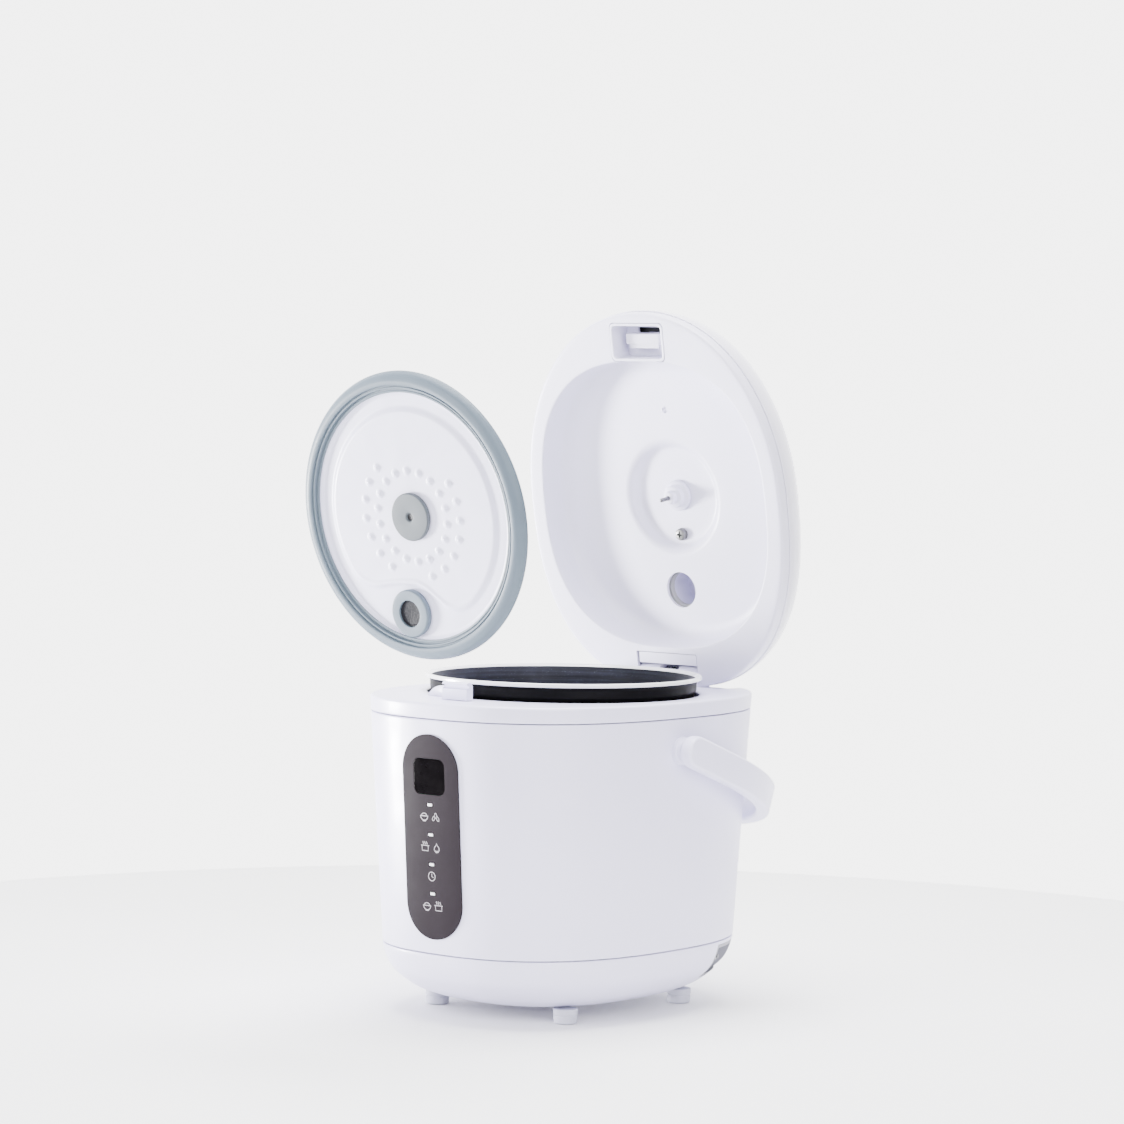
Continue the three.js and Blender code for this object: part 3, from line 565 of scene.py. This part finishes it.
def stadium(inset):
    return rounded(20 - inset, 56.25 - inset, 19.99 - inset, (0, PANEL_Z), 28)


def pane(inset):
    return rounded(10.9 - inset, 9.6 - inset, max(3.9 - inset, 0.3), (0, DISPLAY_Z), 8)


overlay = laid(stadium, [0, 1.5, 3, 5, 7.5, 10, 12.5, 15, 17.5, 19.6], 0.3, 1.0, 0.3)
window = prism(rounded(11.2, 9.9, 4.1, (0, DISPLAY_Z)), "y", -125, -80)
slots = [prism(rounded(2, 1.1, 0.6, (0, z)), "y", -125, -80) for z in LIGHT_Z]
overlay = carve(overlay, window, *slots)
put("panel_face", overlay, BODY, "body", PANEL_GREY, ["panel_overlay"])
glass = laid(pane, [0, 1.5, 3, 4.5, 6, 7.5, 9.3], 0.3, 0.85, 0.2)
put("display_pane", glass, BODY, "body", GLASS, ["display_window"])

ends = soften([(0.3, -8.8), (0, -8.6), (0, 0.95), (0.5, 0.95)], [0, 0, 0.25, 0], 4)
for i, z in enumerate(LIGHT_Z, 1):
    rings = []
    for inset, off in ends:
        face = rounded(1.65 - inset, 0.75 - inset, max(0.45 - inset, 0.05), (0, z), 5)
        rings.append(on_front(face, off))
    put(f"light_bar_{i}", loft(rings), BODY, "body", LIGHT_WHITE, [f"light_guide_{i}"])


def stroke(points, width=0.42, closed=False):
    """A printed line on the front overlay."""
    line = np.array(points, float)
    rings = []
    for i, p in enumerate(line):
        before = line[i - 1] if i or closed else line[0]
        after = line[(i + 1) % len(line)] if closed or i < len(line) - 1 else line[-1]
        along = (after - before) / np.linalg.norm(after - before)
        side = np.array([-along[1], along[0]]) * width / 2
        low, high = on_front([p - side, p + side], 0.96), on_front([p + side, p - side], 1.05)
        rings.append(np.vstack([low, high]))
    return loft(rings, loop=closed)


def arc(x, z, r, start, stop, rz=None, steps=16):
    """Part of a circle, or of an ellipse that is rz high, between two angles in degrees."""
    t = np.radians(np.linspace(start, stop, steps + 1))
    return np.column_stack([x + r * np.cos(t), z + (rz or r) * np.sin(t)])


def wisp(x, z, size):
    """A line of steam."""
    s = np.linspace(0, 1, 9)
    return np.column_stack([x + 0.35 * size * np.sin(s * 2 * np.pi), z + 2 * size * s])


def joined(parts):
    """Several meshes as one."""
    verts, faces = [], []
    for part in parts:
        start = len(verts)
        verts += [tuple(v.co) for v in part.vertices]
        faces += [[start + k for k in p.vertices] for p in part.polygons]
        bpy.data.meshes.remove(part)
    mesh = bpy.data.meshes.new("part")
    mesh.from_pydata(verts, [], faces)
    return mesh


def bowl_mark(x, z):
    return [
        stroke(arc(x, z + 0.2, 2.6, 180, 360, 2.3)),
        stroke([(x - 2.9, z + 0.3), (x + 2.9, z + 0.3)]),
        stroke(arc(x, z + 0.5, 1.9, 0, 180, 1.3)),
        stroke([(x - 1.1, z - 2.4), (x + 1.1, z - 2.4)]),
    ]


def pot_mark(x, z):
    return [
        stroke([(x - 2.3, z + 0.8), (x - 2.2, z - 1.9), (x + 2.2, z - 1.9), (x + 2.3, z + 0.8)]),
        stroke([(x - 2.9, z + 0.9), (x + 2.9, z + 0.9)]),
        *[stroke(wisp(x + d, z + 1.5, 0.8)) for d in (-1.3, 0, 1.3)],
    ]


def clock_mark(x, z):
    return [
        stroke(arc(x, z, 2.4, 0, 345, steps=23), closed=True),
        stroke([(x, z + 1.5), (x, z), (x + 1.1, z - 0.6)]),
    ]


def drop_mark(x, z):
    left = [
        (x, z + 2.6), (x - 0.5, z + 1.4), (x - 1.6, z + 0.3),
        (x - 1.8, z - 0.9), (x - 1.1, z - 2.0), (x, z - 2.4),
    ]
    right = [(2 * x - px, pz) for px, pz in reversed(left[1:-1])]
    return [stroke(left + right, closed=True), stroke(arc(x, z - 1.0, 0.8, 200, 340, 0.9))]


def grain_mark(x, z):
    grains = []
    for dx, dz, turn in ((-1.5, -0.6, 0.4), (1.4, -0.7, -0.4), (0, 1.0, 0.0)):
        oval = arc(0, 0, 0.75, 0, 345, 1.35, 23)
        leant = oval @ np.array([[math.cos(turn), -math.sin(turn)], [math.sin(turn), math.cos(turn)]])
        grains.append(stroke(leant + [x + dx, z + dz], 0.36, True))
    return grains


marks = [
    bowl_mark(-MARK_X, MARK_Z[0]) + grain_mark(MARK_X, MARK_Z[0]),
    pot_mark(-MARK_X, MARK_Z[1]) + drop_mark(MARK_X, MARK_Z[1]),
    clock_mark(0, MARK_Z[2]),
    bowl_mark(-MARK_X, MARK_Z[3]) + pot_mark(MARK_X, MARK_Z[3]),
]
for i, strokes in enumerate(marks, 1):
    put(f"key_symbols_{i}", joined(strokes), BODY, "body", KEY_WHITE, [])


# ---- power inlet --------------------------------------------------------------------------
socket = block(-18, 18, -16.7, 32, 17.3, 36, 1.2)
hollow = block(-16.2, 16.2, -14.9, 42, 19.1, 34.2, 1.4)
pin_holes = []
for x in (-3.6, 3.6):
    hole = spun(turned([(0, -20), (1.6, -20), (1.6, -10), (0, -10)], count=32), -90, "X")
    pin_holes.append(shifted(hole, x, 0, 26.65))
socket = at_inlet(carve(socket, hollow, *pin_holes))
outer = loft([base_ring(share, 0.15, z) for share, z in slope] + [base_ring(100, 0.15, 38)])
socket = carve(socket, outer, how="INTERSECT")
put("inlet_housing", socket, BODY, "body", SOCKET_GREY, ["inlet_socket"])


# ---- catch and hinge ----------------------------------------------------------------------
hook = soften(
    [(-92.3, 176.6), (-87.2, 176.6), (-87.2, 184.4), (-88.7, 186.4), (-91.3, 186.4),
     (-92.3, 185.4), (-92.3, 185), (-90.4, 184.8), (-90.4, 182.8), (-92.3, 182.6)],
    [0.2, 0.2, 0.8, 0.8, 0.6, 0.3, 0.1, 0.2, 0.2, 0.1], 4, True,
)
ends = soften([(0.5, -9), (0, -9), (0, 9), (0.5, 9)], [0, 0.5, 0.5, 0], 4)
middle = np.mean(hook, axis=0)
rings = []
for inset, x in ends:
    shrunk = [p + (middle - p) / np.linalg.norm(middle - p) * inset * 0.7 for p in hook]
    rings.append(np.array([(x, y, z) for y, z in shrunk]))
put("catch_hook", loft(rings), BODY, "body", BODY_WHITE, ["latch_catch"])

# a low ramp beside the catch, on an arc round the opening
RAMP_STEPS = 12
ramp = []
for step in range(RAMP_STEPS + 1):
    t = math.radians(-98.6 - 1.25 * step)
    top = 183 - 5.6 * (step / RAMP_STEPS) ** 3
    corners = soften([(79.9, 176.2), (83.4, 176.2), (83.4, top), (79.9, top)], [0.1, 0.1, 0.8, 0.5], 3, True)
    ramp.append(np.array([(r * math.cos(t), r * math.sin(t), z) for r, z in corners]))
put("catch_ramp", loft(ramp), BODY, "body", BODY_WHITE, [])

fin = soften([(90, 172.7), (107, 172.7), (104.6, 182), (95.2, 178.6)], [0.6, 0.6, 1.2, 1.2], 4, True)
stand = loft([np.array([(x, y, z) for y, z in fin]) for x in (-21.6, -21.0, 21.0, 21.6)])
barrel = turned_along_x(soften([(0, -21.6), (5.1, -21.6), (5.1, 21.6), (0, 21.6)], [0, 0.7, 0.7, 0], 4), 64)
bore = turned_along_x([(0, -30), (2.3, -30), (2.3, 30), (0, 30)], 32)
stand = carve(stand, shifted(barrel, 0, HINGE_Y, HINGE_Z), how="UNION")
gap = block(-7, 7, 94.5, 130, 177.2, 192, 0.6)
stand = carve(stand, shifted(bore, 0, HINGE_Y, HINGE_Z), gap)
put("hinge_stand", stand, BODY, "body", BODY_WHITE, ["hinge_bracket"])
axle = turned_along_x(soften([(0, -28.6), (2, -28.6), (2, 28.6), (0, 28.6)], [0, 0.4, 0.4, 0], 3), 32)
axle = shifted(axle, 0, HINGE_Y, HINGE_Z)
put("hinge_axle", axle, BODY, "body", PLATED, ["hinge_pin"])


def at_pivot(profile, sign):
    """A turned piece on one of the handle's pivots, from its section on the right."""
    piece = turned_along_x(profile, 64)
    if sign < 0:
        piece = moved(piece, MIRROR_X)
    return shifted(piece, 0, PIVOT_Y, PIVOT_Z)


stud = soften([(0, 80), (9, 80), (9, 83.6), (5, 83.6), (5, 97.5), (0, 97.5)], [0, 0.5, 0.5, 0.2, 0.6, 0], 3)
boss = soften(
    [(5.4, 86.9), (7.8, 86.9), (7.8, 90.2), (7.2, 90.6), (7.2, 92.9), (5.4, 92.9)],
    [0.1, 0.2, 0.6, 0.1, 0.6, 0.1], 3, True,
)
for side, sign in SIDES:
    name = f"handle_pin_{side}"
    put("pivot_stud_" + side, at_pivot(stud, sign), BODY, "body", PLATED, [name])
    put("pivot_boss_" + side, at_pivot(boss, sign), BODY, "body", BODY_WHITE, [])


# ---- inner pot ----------------------------------------------------------------------------
RIM_Z = 184.4
outside = soften(
    [(0, 72.3), (60, 72.3), (66, 74.3), (70.6, 79.3), (72.8, 86.3), (73.6, 100),
     (73.6, 176), (75, 178.4), (75.2, 183.2), (76.6, RIM_Z)],
    [0, 3, 4, 4, 4, 6, 1, 0.8, 0.8, 0], 6,
)
rim = soften(
    [(76.6, RIM_Z), (78, 184.6), (78, 186.6), (76.4, 186.8), (74.4, 185.2)], [0, 0.5, 0.7, 0.6, 0], 5
)
inside = soften(
    [(74.4, 185.2), (72.2, 178), (72, 100), (71, 86.3),
     (68.8, 80.3), (64.6, 75.9), (59, 74.5), (0, 74.5)],
    [0, 2, 5, 4, 4, 4, 4, 0], 6,
)
pot = turned(outside + rim[1:] + inside[1:], count=192)
COATED, BRIGHT, BLACK = 0, 1, 2  # places in the pot's list of materials
for face in pot.polygons:
    r, z = math.hypot(face.center.x, face.center.y), face.center.z
    outward = (face.center.x * face.normal.x + face.center.y * face.normal.y) / max(r, 1)
    if z > RIM_Z - 0.1 and r > 74.3:
        face.material_index = BRIGHT
    elif outward > 0.05 or face.normal.z < -0.5:
        face.material_index = BLACK
    else:
        face.material_index = COATED
finishes = [COATING, RIM, POT_BLACK]
put("cooking_pot", pot, BODY, "pot", finishes, ["inner_pot"], sharp=50)


# ---- carrying handle ----------------------------------------------------------------------
ARM_X = 97.6  # the arms' middle line
ARM_STRAIGHT = 34
BOW_REACH = 104  # how far the bow goes past the straight arms
HALF_WIDE = 8.8
HALF_THICK = 4
EDGE = 2.0


def bail_path():
    """The handle's middle line; its frame has its origin on the pivots and +Y along the arms."""
    arm = [y - HALF_WIDE for y in (0.03, 0.12, 0.3, 0.6, 1.1, 1.8, 2.8, 4, 5.5, 7, 8.8)] + [8, 16, 25]
    line = [(ARM_X, y) for y in arm]
    steps = 48
    for k in range(steps + 1):
        t = math.pi / 2 * k / steps
        line.append((ARM_X * math.cos(t), ARM_STRAIGHT + BOW_REACH * math.sin(t)))
    return line + [(-x, y) for x, y in reversed(line[:-1])]


def bail():
    path = bail_path()
    rings = []
    for i, (x, y) in enumerate(path):
        (ax, ay), (bx, by) = path[max(i - 1, 0)], path[min(i + 1, len(path) - 1)]
        along = math.hypot(bx - ax, by - ay)
        normal = np.array([(by - ay) / along, -(bx - ax) / along, 0.0])
        tip = y + HALF_WIDE if y < 0 else HALF_WIDE
        half = math.sqrt(max(HALF_WIDE**2 - (HALF_WIDE - tip) ** 2, 0.05))
        edge = min(EDGE, tip)
        thin = HALF_THICK - EDGE + math.sqrt(max(EDGE**2 - (EDGE - edge) ** 2, 0.0))
        ring = []
        for out, up in rounded(thin, half, min(EDGE, half * 0.9, thin * 0.9), corner=6):
            ring.append(np.array([x, y, 0]) + normal * out + np.array([0, 0, up]))
        rings.append(np.array(ring))
    bore = [(0, 92), (5.3, 92), (5.3, 98.2), (0, 98.2)]
    bores = [turned_along_x(bore, 48), moved(turned_along_x(bore, 48), MIRROR_X)]
    return carve(loft(rings), *bores)


put("carrying_bail", bail(), HANDLE, "handle", BODY_WHITE, ["carry_handle"])


# ---- lid ----------------------------------------------------------------------------------
# The lid's own frame has its origin on the hinge, with the lid shut: -Y forward, +Z up.
FACE = -5
RECESS_Y = -100.5
WELL_Y = -101.7
STEAM_Y = -46.5
WINDOW_Y = -195.6
BUTTON_Y = -176
SCREW_LID_Y = -78.6


def lid_ring(inset, z):
    return level(outline(92.3 - inset, 110 - inset, 2.5, 110 - inset, 2.1, -102.4), z)


def recess_ring(inset, z):
    return level(outline(81.5 - inset, 84.2 - inset, 2.5, mid=RECESS_Y), z)


def well_ring(r, z):
    return level(circle(r, 0, WELL_Y), z)


LID_WALL = 2.2
dome = soften(
    [(0.6, 1.9), (-0.6, 1.9), (-0.6, 5), (0.6, 11), (3, 17), (7.4, 22.6),
     (14, 27.4), (24, 31.2), (40, 33.8), (62, 35), (84, 35.2)],
    [0, 0.7, 3, 9, 9, 9, 9, 9, 9, 9, 0], 5,
)
hollow = loft([lid_ring(max(i, 0) + LID_WALL, z - LID_WALL) for i, z in dome])
shell = carve(loft([lid_ring(i, z) for i, z in dome]), hollow)
steam_hole = turned(soften([(0, 20), (14.4, 20), (14.4, 50), (0, 50)], 0), 0, STEAM_Y, 64)
button_hole = prism(outline(13.5, 8.5, 2, mid=BUTTON_Y, count=64), "z", 15, 50)
rear = block(-27.7, 27.7, -6, 20, -10, 7, 0.8)
shell = carve(shell, steam_hole, button_hole, rear)
put("lid_cover", shell, LID, "lid", LID_WHITE, ["lid_outer_shell"])

edge = soften([(2.4, 1.6), (0, 1.6), (0, FACE), (5, FACE)], [0, 0.5, 2.6, 0], 6)
wall = soften(
    [(-1.8, FACE), (0, FACE), (0.8, 5), (1.6, 10.4), (4.4, 13.4), (8, 14.4), (13, 14.4)],
    [0, 1.4, 2, 3, 3, 3, 0], 5,
)
well = soften(
    [(42, 14.4), (34, 14.4), (31.6, 15.6), (28.4, 20.2), (24, 20.4), (0.01, 20.4)],
    [0, 2, 1.5, 1.5, 2, 0], 5,
)
front = [lid_ring(i, z) for i, z in edge]
front += [recess_ring(i, z) for i, z in wall]
front += [well_ring(r, z) for r, z in well]
back = [well_ring(r, z) for r, z in [(0.01, 22.4), (30, 22.4), (34, 17.6), (40, 16.4)]]
back += [recess_ring(i, z) for i, z in [(8, 16.4), (2.4, 15.2), (-0.4, 10.4), (-1.2, 5), (-2, -2.8)]]
back += [lid_ring(i, z) for i, z in [(5, -2.8), (2.4, -2.8)]]
opening = prism(rounded(19.7, 11.3, 2.8, (0, WINDOW_Y)), "z", -8, -1)
notch = block(-22.3, 22.3, -13.2, 20, -12, 10, 0.8)
tube_hole = turned([(0, -10), (10.6, -10), (10.6, 30), (0, 30)], 0, STEAM_Y, 64)
screw_hole = turned([(0, 10), (3.8, 10), (3.8, 30), (0, 30)], 0, SCREW_LID_Y, 32)
dimple = turned(soften([(0, 12), (2.6, 12), (1.6, 15.6), (0, 15.6)], [0, 0, 0.5, 0]), 0, -153, 32)
liner = carve(loft(back + front), opening, notch, tube_hole, screw_hole, dimple)
put("lid_lining", liner, LID, "lid", LINER_WHITE, ["lid_liner", "recess_pan"])
knuckle = soften([(2.3, -2), (4.4, -2), (4.4, 2), (2.3, 2)], [0.1, 0.5, 0.5, 0.1], 3, True)
for side, sign in SIDES:
    ring = shifted(turned_along_x(knuckle, 48), sign * 24.8)
    put("hinge_knuckle_" + side, ring, LID, "lid", LINER_WHITE, [])

# the latch window's pocket with its thin raised border, and behind its slot a dark sheet of painted shadow
lip = soften(
    [(-1.6, -3.2), (-1.6, FACE - JOINT), (0, FACE - JOINT), (0, 8.4)], [0, 0.4, 0.6, 0], 4
)
rings = [level(rounded(19.0, 10.2, 3.2, (0, WINDOW_Y), 8), z) for z in (10, -3.0)]
rings += [level(rounded(17.8 - d, 9.4 - d, 2.4 - d / 2, (0, WINDOW_Y), 8), z) for d, z in lip]
cup = carve(loft(rings), block(-9, 9.6, -202.4, -193.1, 0, 20, 0.5))
# painted shadow: a dark sheet inside the lid behind the latch slot, so the gap reads dark
shade = block(-14, 14, -206, -196.5, 13.4, 14.2, 0.2)
put("latch_slot_shadow", shade, LID, "lid", MODULE_AND_SHADOW_BLACK, [])
put("latch_housing", cup, LID, "lid", LINER_WHITE, ["latch_pocket"])

bar = []
for inset, y in soften([(1.8, -199.6), (0, -199.6), (0, -193.4), (1.8, -193.4)], [0, 1.8, 1.2, 0], 5):
    ring = rounded(13.6 - inset, 3.5 - inset, max(3.0 - inset, 0.4), (-0.6, 4.5), 8)
    bar.append(np.array([(x, y, z) for x, z in ring]))
tooth = block(-10.5, 10.5, -195, -191.2, 1.4, 2.15, 0.15)
stem = block(-4, 4, -199.1, -193.6, 6, 13, 0.4)
bolt = carve(loft(bar), tooth, stem, how="UNION")
put("latch_bolt", bolt, LID, "latch", LID_WHITE, ["latch_bar"])

tube = soften([(9.7, 17.4), (12, 17.4), (12, 20.6), (9.7, 20.6)], [0.3, 0.3, 0.2, 0.2], 4, True)
put("steam_sleeve", turned(tube, 0, STEAM_Y, 64), LID, "lid", BUTTON_GREY, ["steam_tube"])
cap = soften(
    [(11.8, 21.6), (13.6, 21.6), (13.6, 35.6), (18, 35.6), (18, 37.2),
     (15, 38.6), (5, 39.0), (4, 38.2), (4, 36.6), (11.8, 36.2)],
    [0.4, 0.4, 0.8, 0.6, 1.0, 2.0, 0.5, 0.5, 0.2, 0.6], 4, True,
)
cap = turned(cap, 0, STEAM_Y, 96)
put("steam_vent_cap", cap, LID, "steam_cap", BODY_WHITE, ["steam_cap"])

crown = soften([(0, 28), (0, 35.4), (2.2, 36), (7, 35.7)], [0, 1.0, 1.0, 0], 5)
button = loft([level(outline(13 - d, 8 - d, 2, mid=BUTTON_Y, count=96), z) for d, z in crown])
stem = turned([(0, 21), (2.6, 21), (2.6, 29), (0, 29)], 0, BUTTON_Y, 32)
button = carve(button, stem, how="UNION")
put("lid_button", button, LID, "release_button", BUTTON_GREY, ["release_button"])

post = soften(
    [(0, 20.1), (9, 20.1), (9, 18), (6.6, 17), (6.4, 14),
     (4, 13.4), (3.7, 10.2), (1.4, 10), (1.4, 15.5), (0, 15.5)],
    [0, 0.2, 0.8, 0.4, 0.6, 0.4, 0.6, 0.2, 0, 0], 4,
)
put("well_post", turned(post, 0, WELL_Y, 64), LID, "lid", LINER_WHITE, ["centre_post"])
pin = soften([(0, 3.3), (1.2, 3.3), (1.2, 15.2), (0, 15.2)], [0, 0.5, 0, 0], 4)
put("well_pin", turned(pin, 0, WELL_Y, 32), LID, "lid", PIN, ["post_pin"])
head = soften(
    [(0, 17.2), (3.4, 17.5), (3.7, 20.1), (1.5, 20.1), (1.5, 25), (0, 25)], [0, 0.8, 0.1, 0, 0.2, 0], 4
)
cross = [block(-0.5, 0.5, -80.8, -76.4, 17, 19, 0.1), block(-2.2, 2.2, -79.1, -78.1, 17, 19, 0.1)]
screw = carve(turned(head, 0, SCREW_LID_Y, 48), *cross)
put("cross_screw", screw, LID, "lid", SCREW, ["well_screw"])

cover = block(-20.2, 21.9, -12.8, -6.4, FACE, FACE + 1.4, 0.45)
put("hinge_strip", cover, LID, "lid", LINER_WHITE, ["hinge_cover"])


# ---- inner lid ----------------------------------------------------------------------------
# Its own frame has its origin at the disc's centre; -Z is the side that faces the pot.
VENT = 53.6  # the vent's distance from the middle
DISC_R = 70.6
SHEET = 0.8
PIP_RISE, PIP_R = 1.35, 2.9
INNER_PIPS = [(24.6, 11.8 + 20 * k) for k in range(18)]  # radius and angle of each
OUTER_PIPS = [(33.7, start + 17.7 * k) for start in (130.5, -73.0) for k in range(7)]


def smooth_step(low, high, value):
    t = np.clip((value - low) / (high - low), 0, 1)
    return t * t * (3 - 2 * t)


def disc_face(x, y):
    """Height of the pressed sheet: a dished middle that gives way to the vent, and rings of pips."""
    turn = math.radians(DISC_TURN)
    across = x * math.cos(turn) - y * math.sin(turn)
    down = y * math.cos(turn) + x * math.sin(turn)
    edge = 36.5 + 2.5 * smooth_step(-12, -36, across) + 15 * smooth_step(-4, 28, across)
    above, inside = edge - down, 57.8 - np.hypot(x, y)
    blend = np.clip(0.5 + 0.5 * (above - inside) / 9, 0, 1)
    depth = above * (1 - blend) + inside * blend - 9 * blend * (1 - blend)
    z = -0.8 - 1.5 * smooth_step(-2.0, 2.0, depth) - 1.2 * (1 - blend) * np.exp(-((depth / 1.6) ** 2))
    for reach, degrees in INNER_PIPS + OUTER_PIPS:
        t = math.radians(degrees + DISC_TURN)
        near = np.hypot(x - reach * math.cos(t), y + reach * math.sin(t))
        z = z - PIP_RISE * (1 - smooth_step(0.2, PIP_R, near))
    return z


radii = np.append(np.arange(9.4, 68.5, 0.55), DISC_R)
angles = np.linspace(0, 2 * np.pi, 480, endpoint=False)
front = []
for r in radii:
    x, y = r * np.cos(angles), r * np.sin(angles)
    share = smooth_step(64.8, 67.6, np.full_like(x, r))
    front.append(np.column_stack([x, y, disc_face(x, y) * (1 - share) - 2.4 * share]))
behind = [ring + [0, 0, SHEET] for ring in reversed(front)]
port = turned([(0, -8), (9.6, -8), (9.6, 6), (0, 6)], 0, VENT, 64)
disc = carve(loft(front + behind, loop=True), port)
put("inner_disc", disc, INNER, "inner_lid", INNER_WHITE, ["inner_lid_disc"])

seal = soften(
    [(66.9, -3.1), (68.0, -3.3), (68.2, -2.9), (69.0, -2.9), (69.2, -4.4), (70.0, -4.5), (70.2, -3.9),
     (70.8, -3.9), (71.1, -5.3), (73.4, -5.5), (76.6, -4.1), (78.2, -1.2), (78.2, 0.4), (76.6, 1),
     (71.6, 0.6), (68.2, -0.2), (68.2, -1.3), (70.9, -1.3), (70.9, -2.6), (66.9, -2.6)],
    [0.2, 0.2, 0.1, 0.1, 0.2, 0.2, 0.1,
     0.1, 0.5, 1.2, 1.6, 1.2, 0.8, 0.8,
     1, 0.4, 0.1, 0.1, 0.1, 0.1], 5, True,
)
seal = turned(seal, count=256)
put("edge_seal", seal, INNER, "inner_lid", SILICONE, ["inner_lid_gasket"])
plug = soften(
    [(1.9, -4.2), (2.6, -4.9), (12.5, -4.9), (13, -4.4), (13, -2.6),
     (9.1, -2.6), (9.1, -0.8), (11.8, -0.8), (11.8, 1.6), (3.9, 1.6)],
    [0.3, 0.4, 0.3, 0.3, 0.3, 0.1, 0.1, 0.3, 0.4, 0.3], 5, True,
)
plug = turned(plug, count=128)
put("centre_grommet", plug, INNER, "grommet", GROMMET, ["inner_lid_grommet"])
# painted shadow: a thin dark disc across the grommet's bore, standing in for the shade inside the hole
hole_shadow = turned([(0, -3.7), (2.1, -3.7), (2.1, -3.3), (0, -3.3)], count=32)
put("grommet_hole_shadow", hole_shadow, INNER, "grommet", MODULE_AND_SHADOW_BLACK, [])
ring = soften(
    [(7.3, -4.2), (12.4, -4.2), (13, -3.7), (13, -1.1), (9.3, -1.1), (9.3, 0.3),
     (12.4, 0.3), (12.4, 3.6), (10.4, 3.6), (10.4, 1.4), (7.3, 1.4)],
    [0.3, 0.4, 0.4, 0.3, 0.1, 0.1, 0.3, 0.4, 0.3, 0.3, 0.2], 5, True,
)
ring = turned(ring, 0, VENT, 128)
put("vent_ring", ring, INNER, "inner_lid", SILICONE, ["vent_seal"])
grille = soften(
    [(0, -2.9), (6.2, -2.9), (6.6, -3.2), (7, -3.2), (7, 0.8), (0, 0.8)], [0, 0.1, 0.1, 0.1, 0.2, 0], 3
)
grille = turned(grille, 0, VENT, 96)
put("vent_grille", grille, INNER, "inner_lid", STRAINER, ["vent_strainer"])


# ---- carried-over nodes -------------------------------------------------------------------
KEPT = {
    "support_frame": PLATED, "inner_sleeve": PLATED, "heater_plate": HEATER, "sensor_cap": PLATED,
    "sensor_spring": SPRING, "hinge_spring": SPRING, "button_spring": SPRING, "thermal_fuse": CERAMIC,
    "power_board": BOARD, "control_board": BOARD, "display_module": MODULE_AND_SHADOW_BLACK,
    "inlet_pin_left": PIN, "inlet_pin_right": PIN,
    **{f"key_plunger_{i}": KEY_WHITE for i in (1, 2, 3, 4)},
}
for name, material in KEPT.items():
    node = frame["nodes"][name]
    node.data.materials.clear()
    node.data.materials.append(material)
    edge = node.modifiers.new("edges", "BEVEL")
    edge.width = 0.3 * MM
    edge.segments = 2
    edge.limit_method = "ANGLE"
    edge.angle_limit = math.radians(50)
    node.data.polygons.foreach_set("use_smooth", [True] * len(node.data.polygons))
    edge.harden_normals = True


# ---- studio -------------------------------------------------------------------------------
FLOOR_R = 620
ground = loft([level(circle(FLOOR_R), -6), level(circle(FLOOR_R), -0.2)])
ground.transform(Matrix.Scale(MM, 4))
ground.materials.append(floor_paint())
floor = bpy.data.objects.new("studio_floor", ground)
scene.collection.objects.link(floor)

# a soft glow from one side of the sky
world = bpy.data.worlds.new("studio")
world.use_nodes = True
sky = world.node_tree.nodes
compass = sky.new("ShaderNodeTexCoord")
facing = sky.new("ShaderNodeVectorMath")
facing.operation = "DOT_PRODUCT"
facing.inputs[1].default_value = (-0.64, 0.77, 0)
glow = sky.new("ShaderNodeMapRange")
glow.inputs["From Min"].default_value = 0.2
glow.inputs["From Max"].default_value = 0.9
glow.inputs["To Min"].default_value = 0.6
glow.inputs["To Max"].default_value = 5.4
world.node_tree.links.new(compass.outputs["Generated"], facing.inputs[0])
world.node_tree.links.new(facing.outputs["Value"], glow.inputs["Value"])
world.node_tree.links.new(glow.outputs["Result"], sky["Background"].inputs["Strength"])
sky["Background"].inputs["Color"].default_value = (1, 1, 1, 1)
scene.world = world


def softbox(name, place, target, size, watts):
    light = bpy.data.lights.new(name, "AREA")
    light.shape = "DISK"
    light.size = size
    light.energy = watts
    holder = bpy.data.objects.new(name, light)
    scene.collection.objects.link(holder)
    holder.location = place
    holder.rotation_mode = "QUATERNION"
    holder.rotation_quaternion = (Vector(target) - Vector(place)).to_track_quat("-Z", "Y")


softbox("key", (-1.8, -0.85, -0.06), (0, 0, 0.2), 0.5, 210)
softbox("front", (-0.5, -2.2, 0.9), (0, 0, 0.2), 1.3, 55)
softbox("fill", (2.0, -0.9, 0.8), (0, 0, 0.15), 1.4, 55)
softbox("top", (0.0, 0.1, 1.9), (0, 0, 0), 1.5, 130)


# ---- camera -------------------------------------------------------------------------------
def camera_at(place, yaw, pitch, roll, lens):
    """The camera, its angles in radians: yaw left from +Y, pitch down, roll about its own axis."""
    ahead = Vector((-math.sin(yaw) * math.cos(pitch), math.cos(yaw) * math.cos(pitch), -math.sin(pitch)))
    right = ahead.cross(Vector((0, 0, 1))).normalized()
    up = right.cross(ahead)
    turned_right = right * math.cos(roll) + up * math.sin(roll)
    turned_up = up * math.cos(roll) - right * math.sin(roll)
    lens_data = bpy.data.cameras.new("camera")
    lens_data.lens = lens
    lens_data.sensor_width = 36
    lens_data.clip_start = 0.05
    lens_data.clip_end = 50
    holder = bpy.data.objects.new("camera", lens_data)
    scene.collection.objects.link(holder)
    rotation = Matrix((turned_right, turned_up, -ahead)).transposed().to_4x4()
    holder.matrix_world = Matrix.Translation(place) @ rotation
    scene.camera = holder


camera_at(
    Vector((1.366403, -1.614982, 0.348946)),
    yaw=0.699368, pitch=0.0468101, roll=0.0153263, lens=121.12,
)
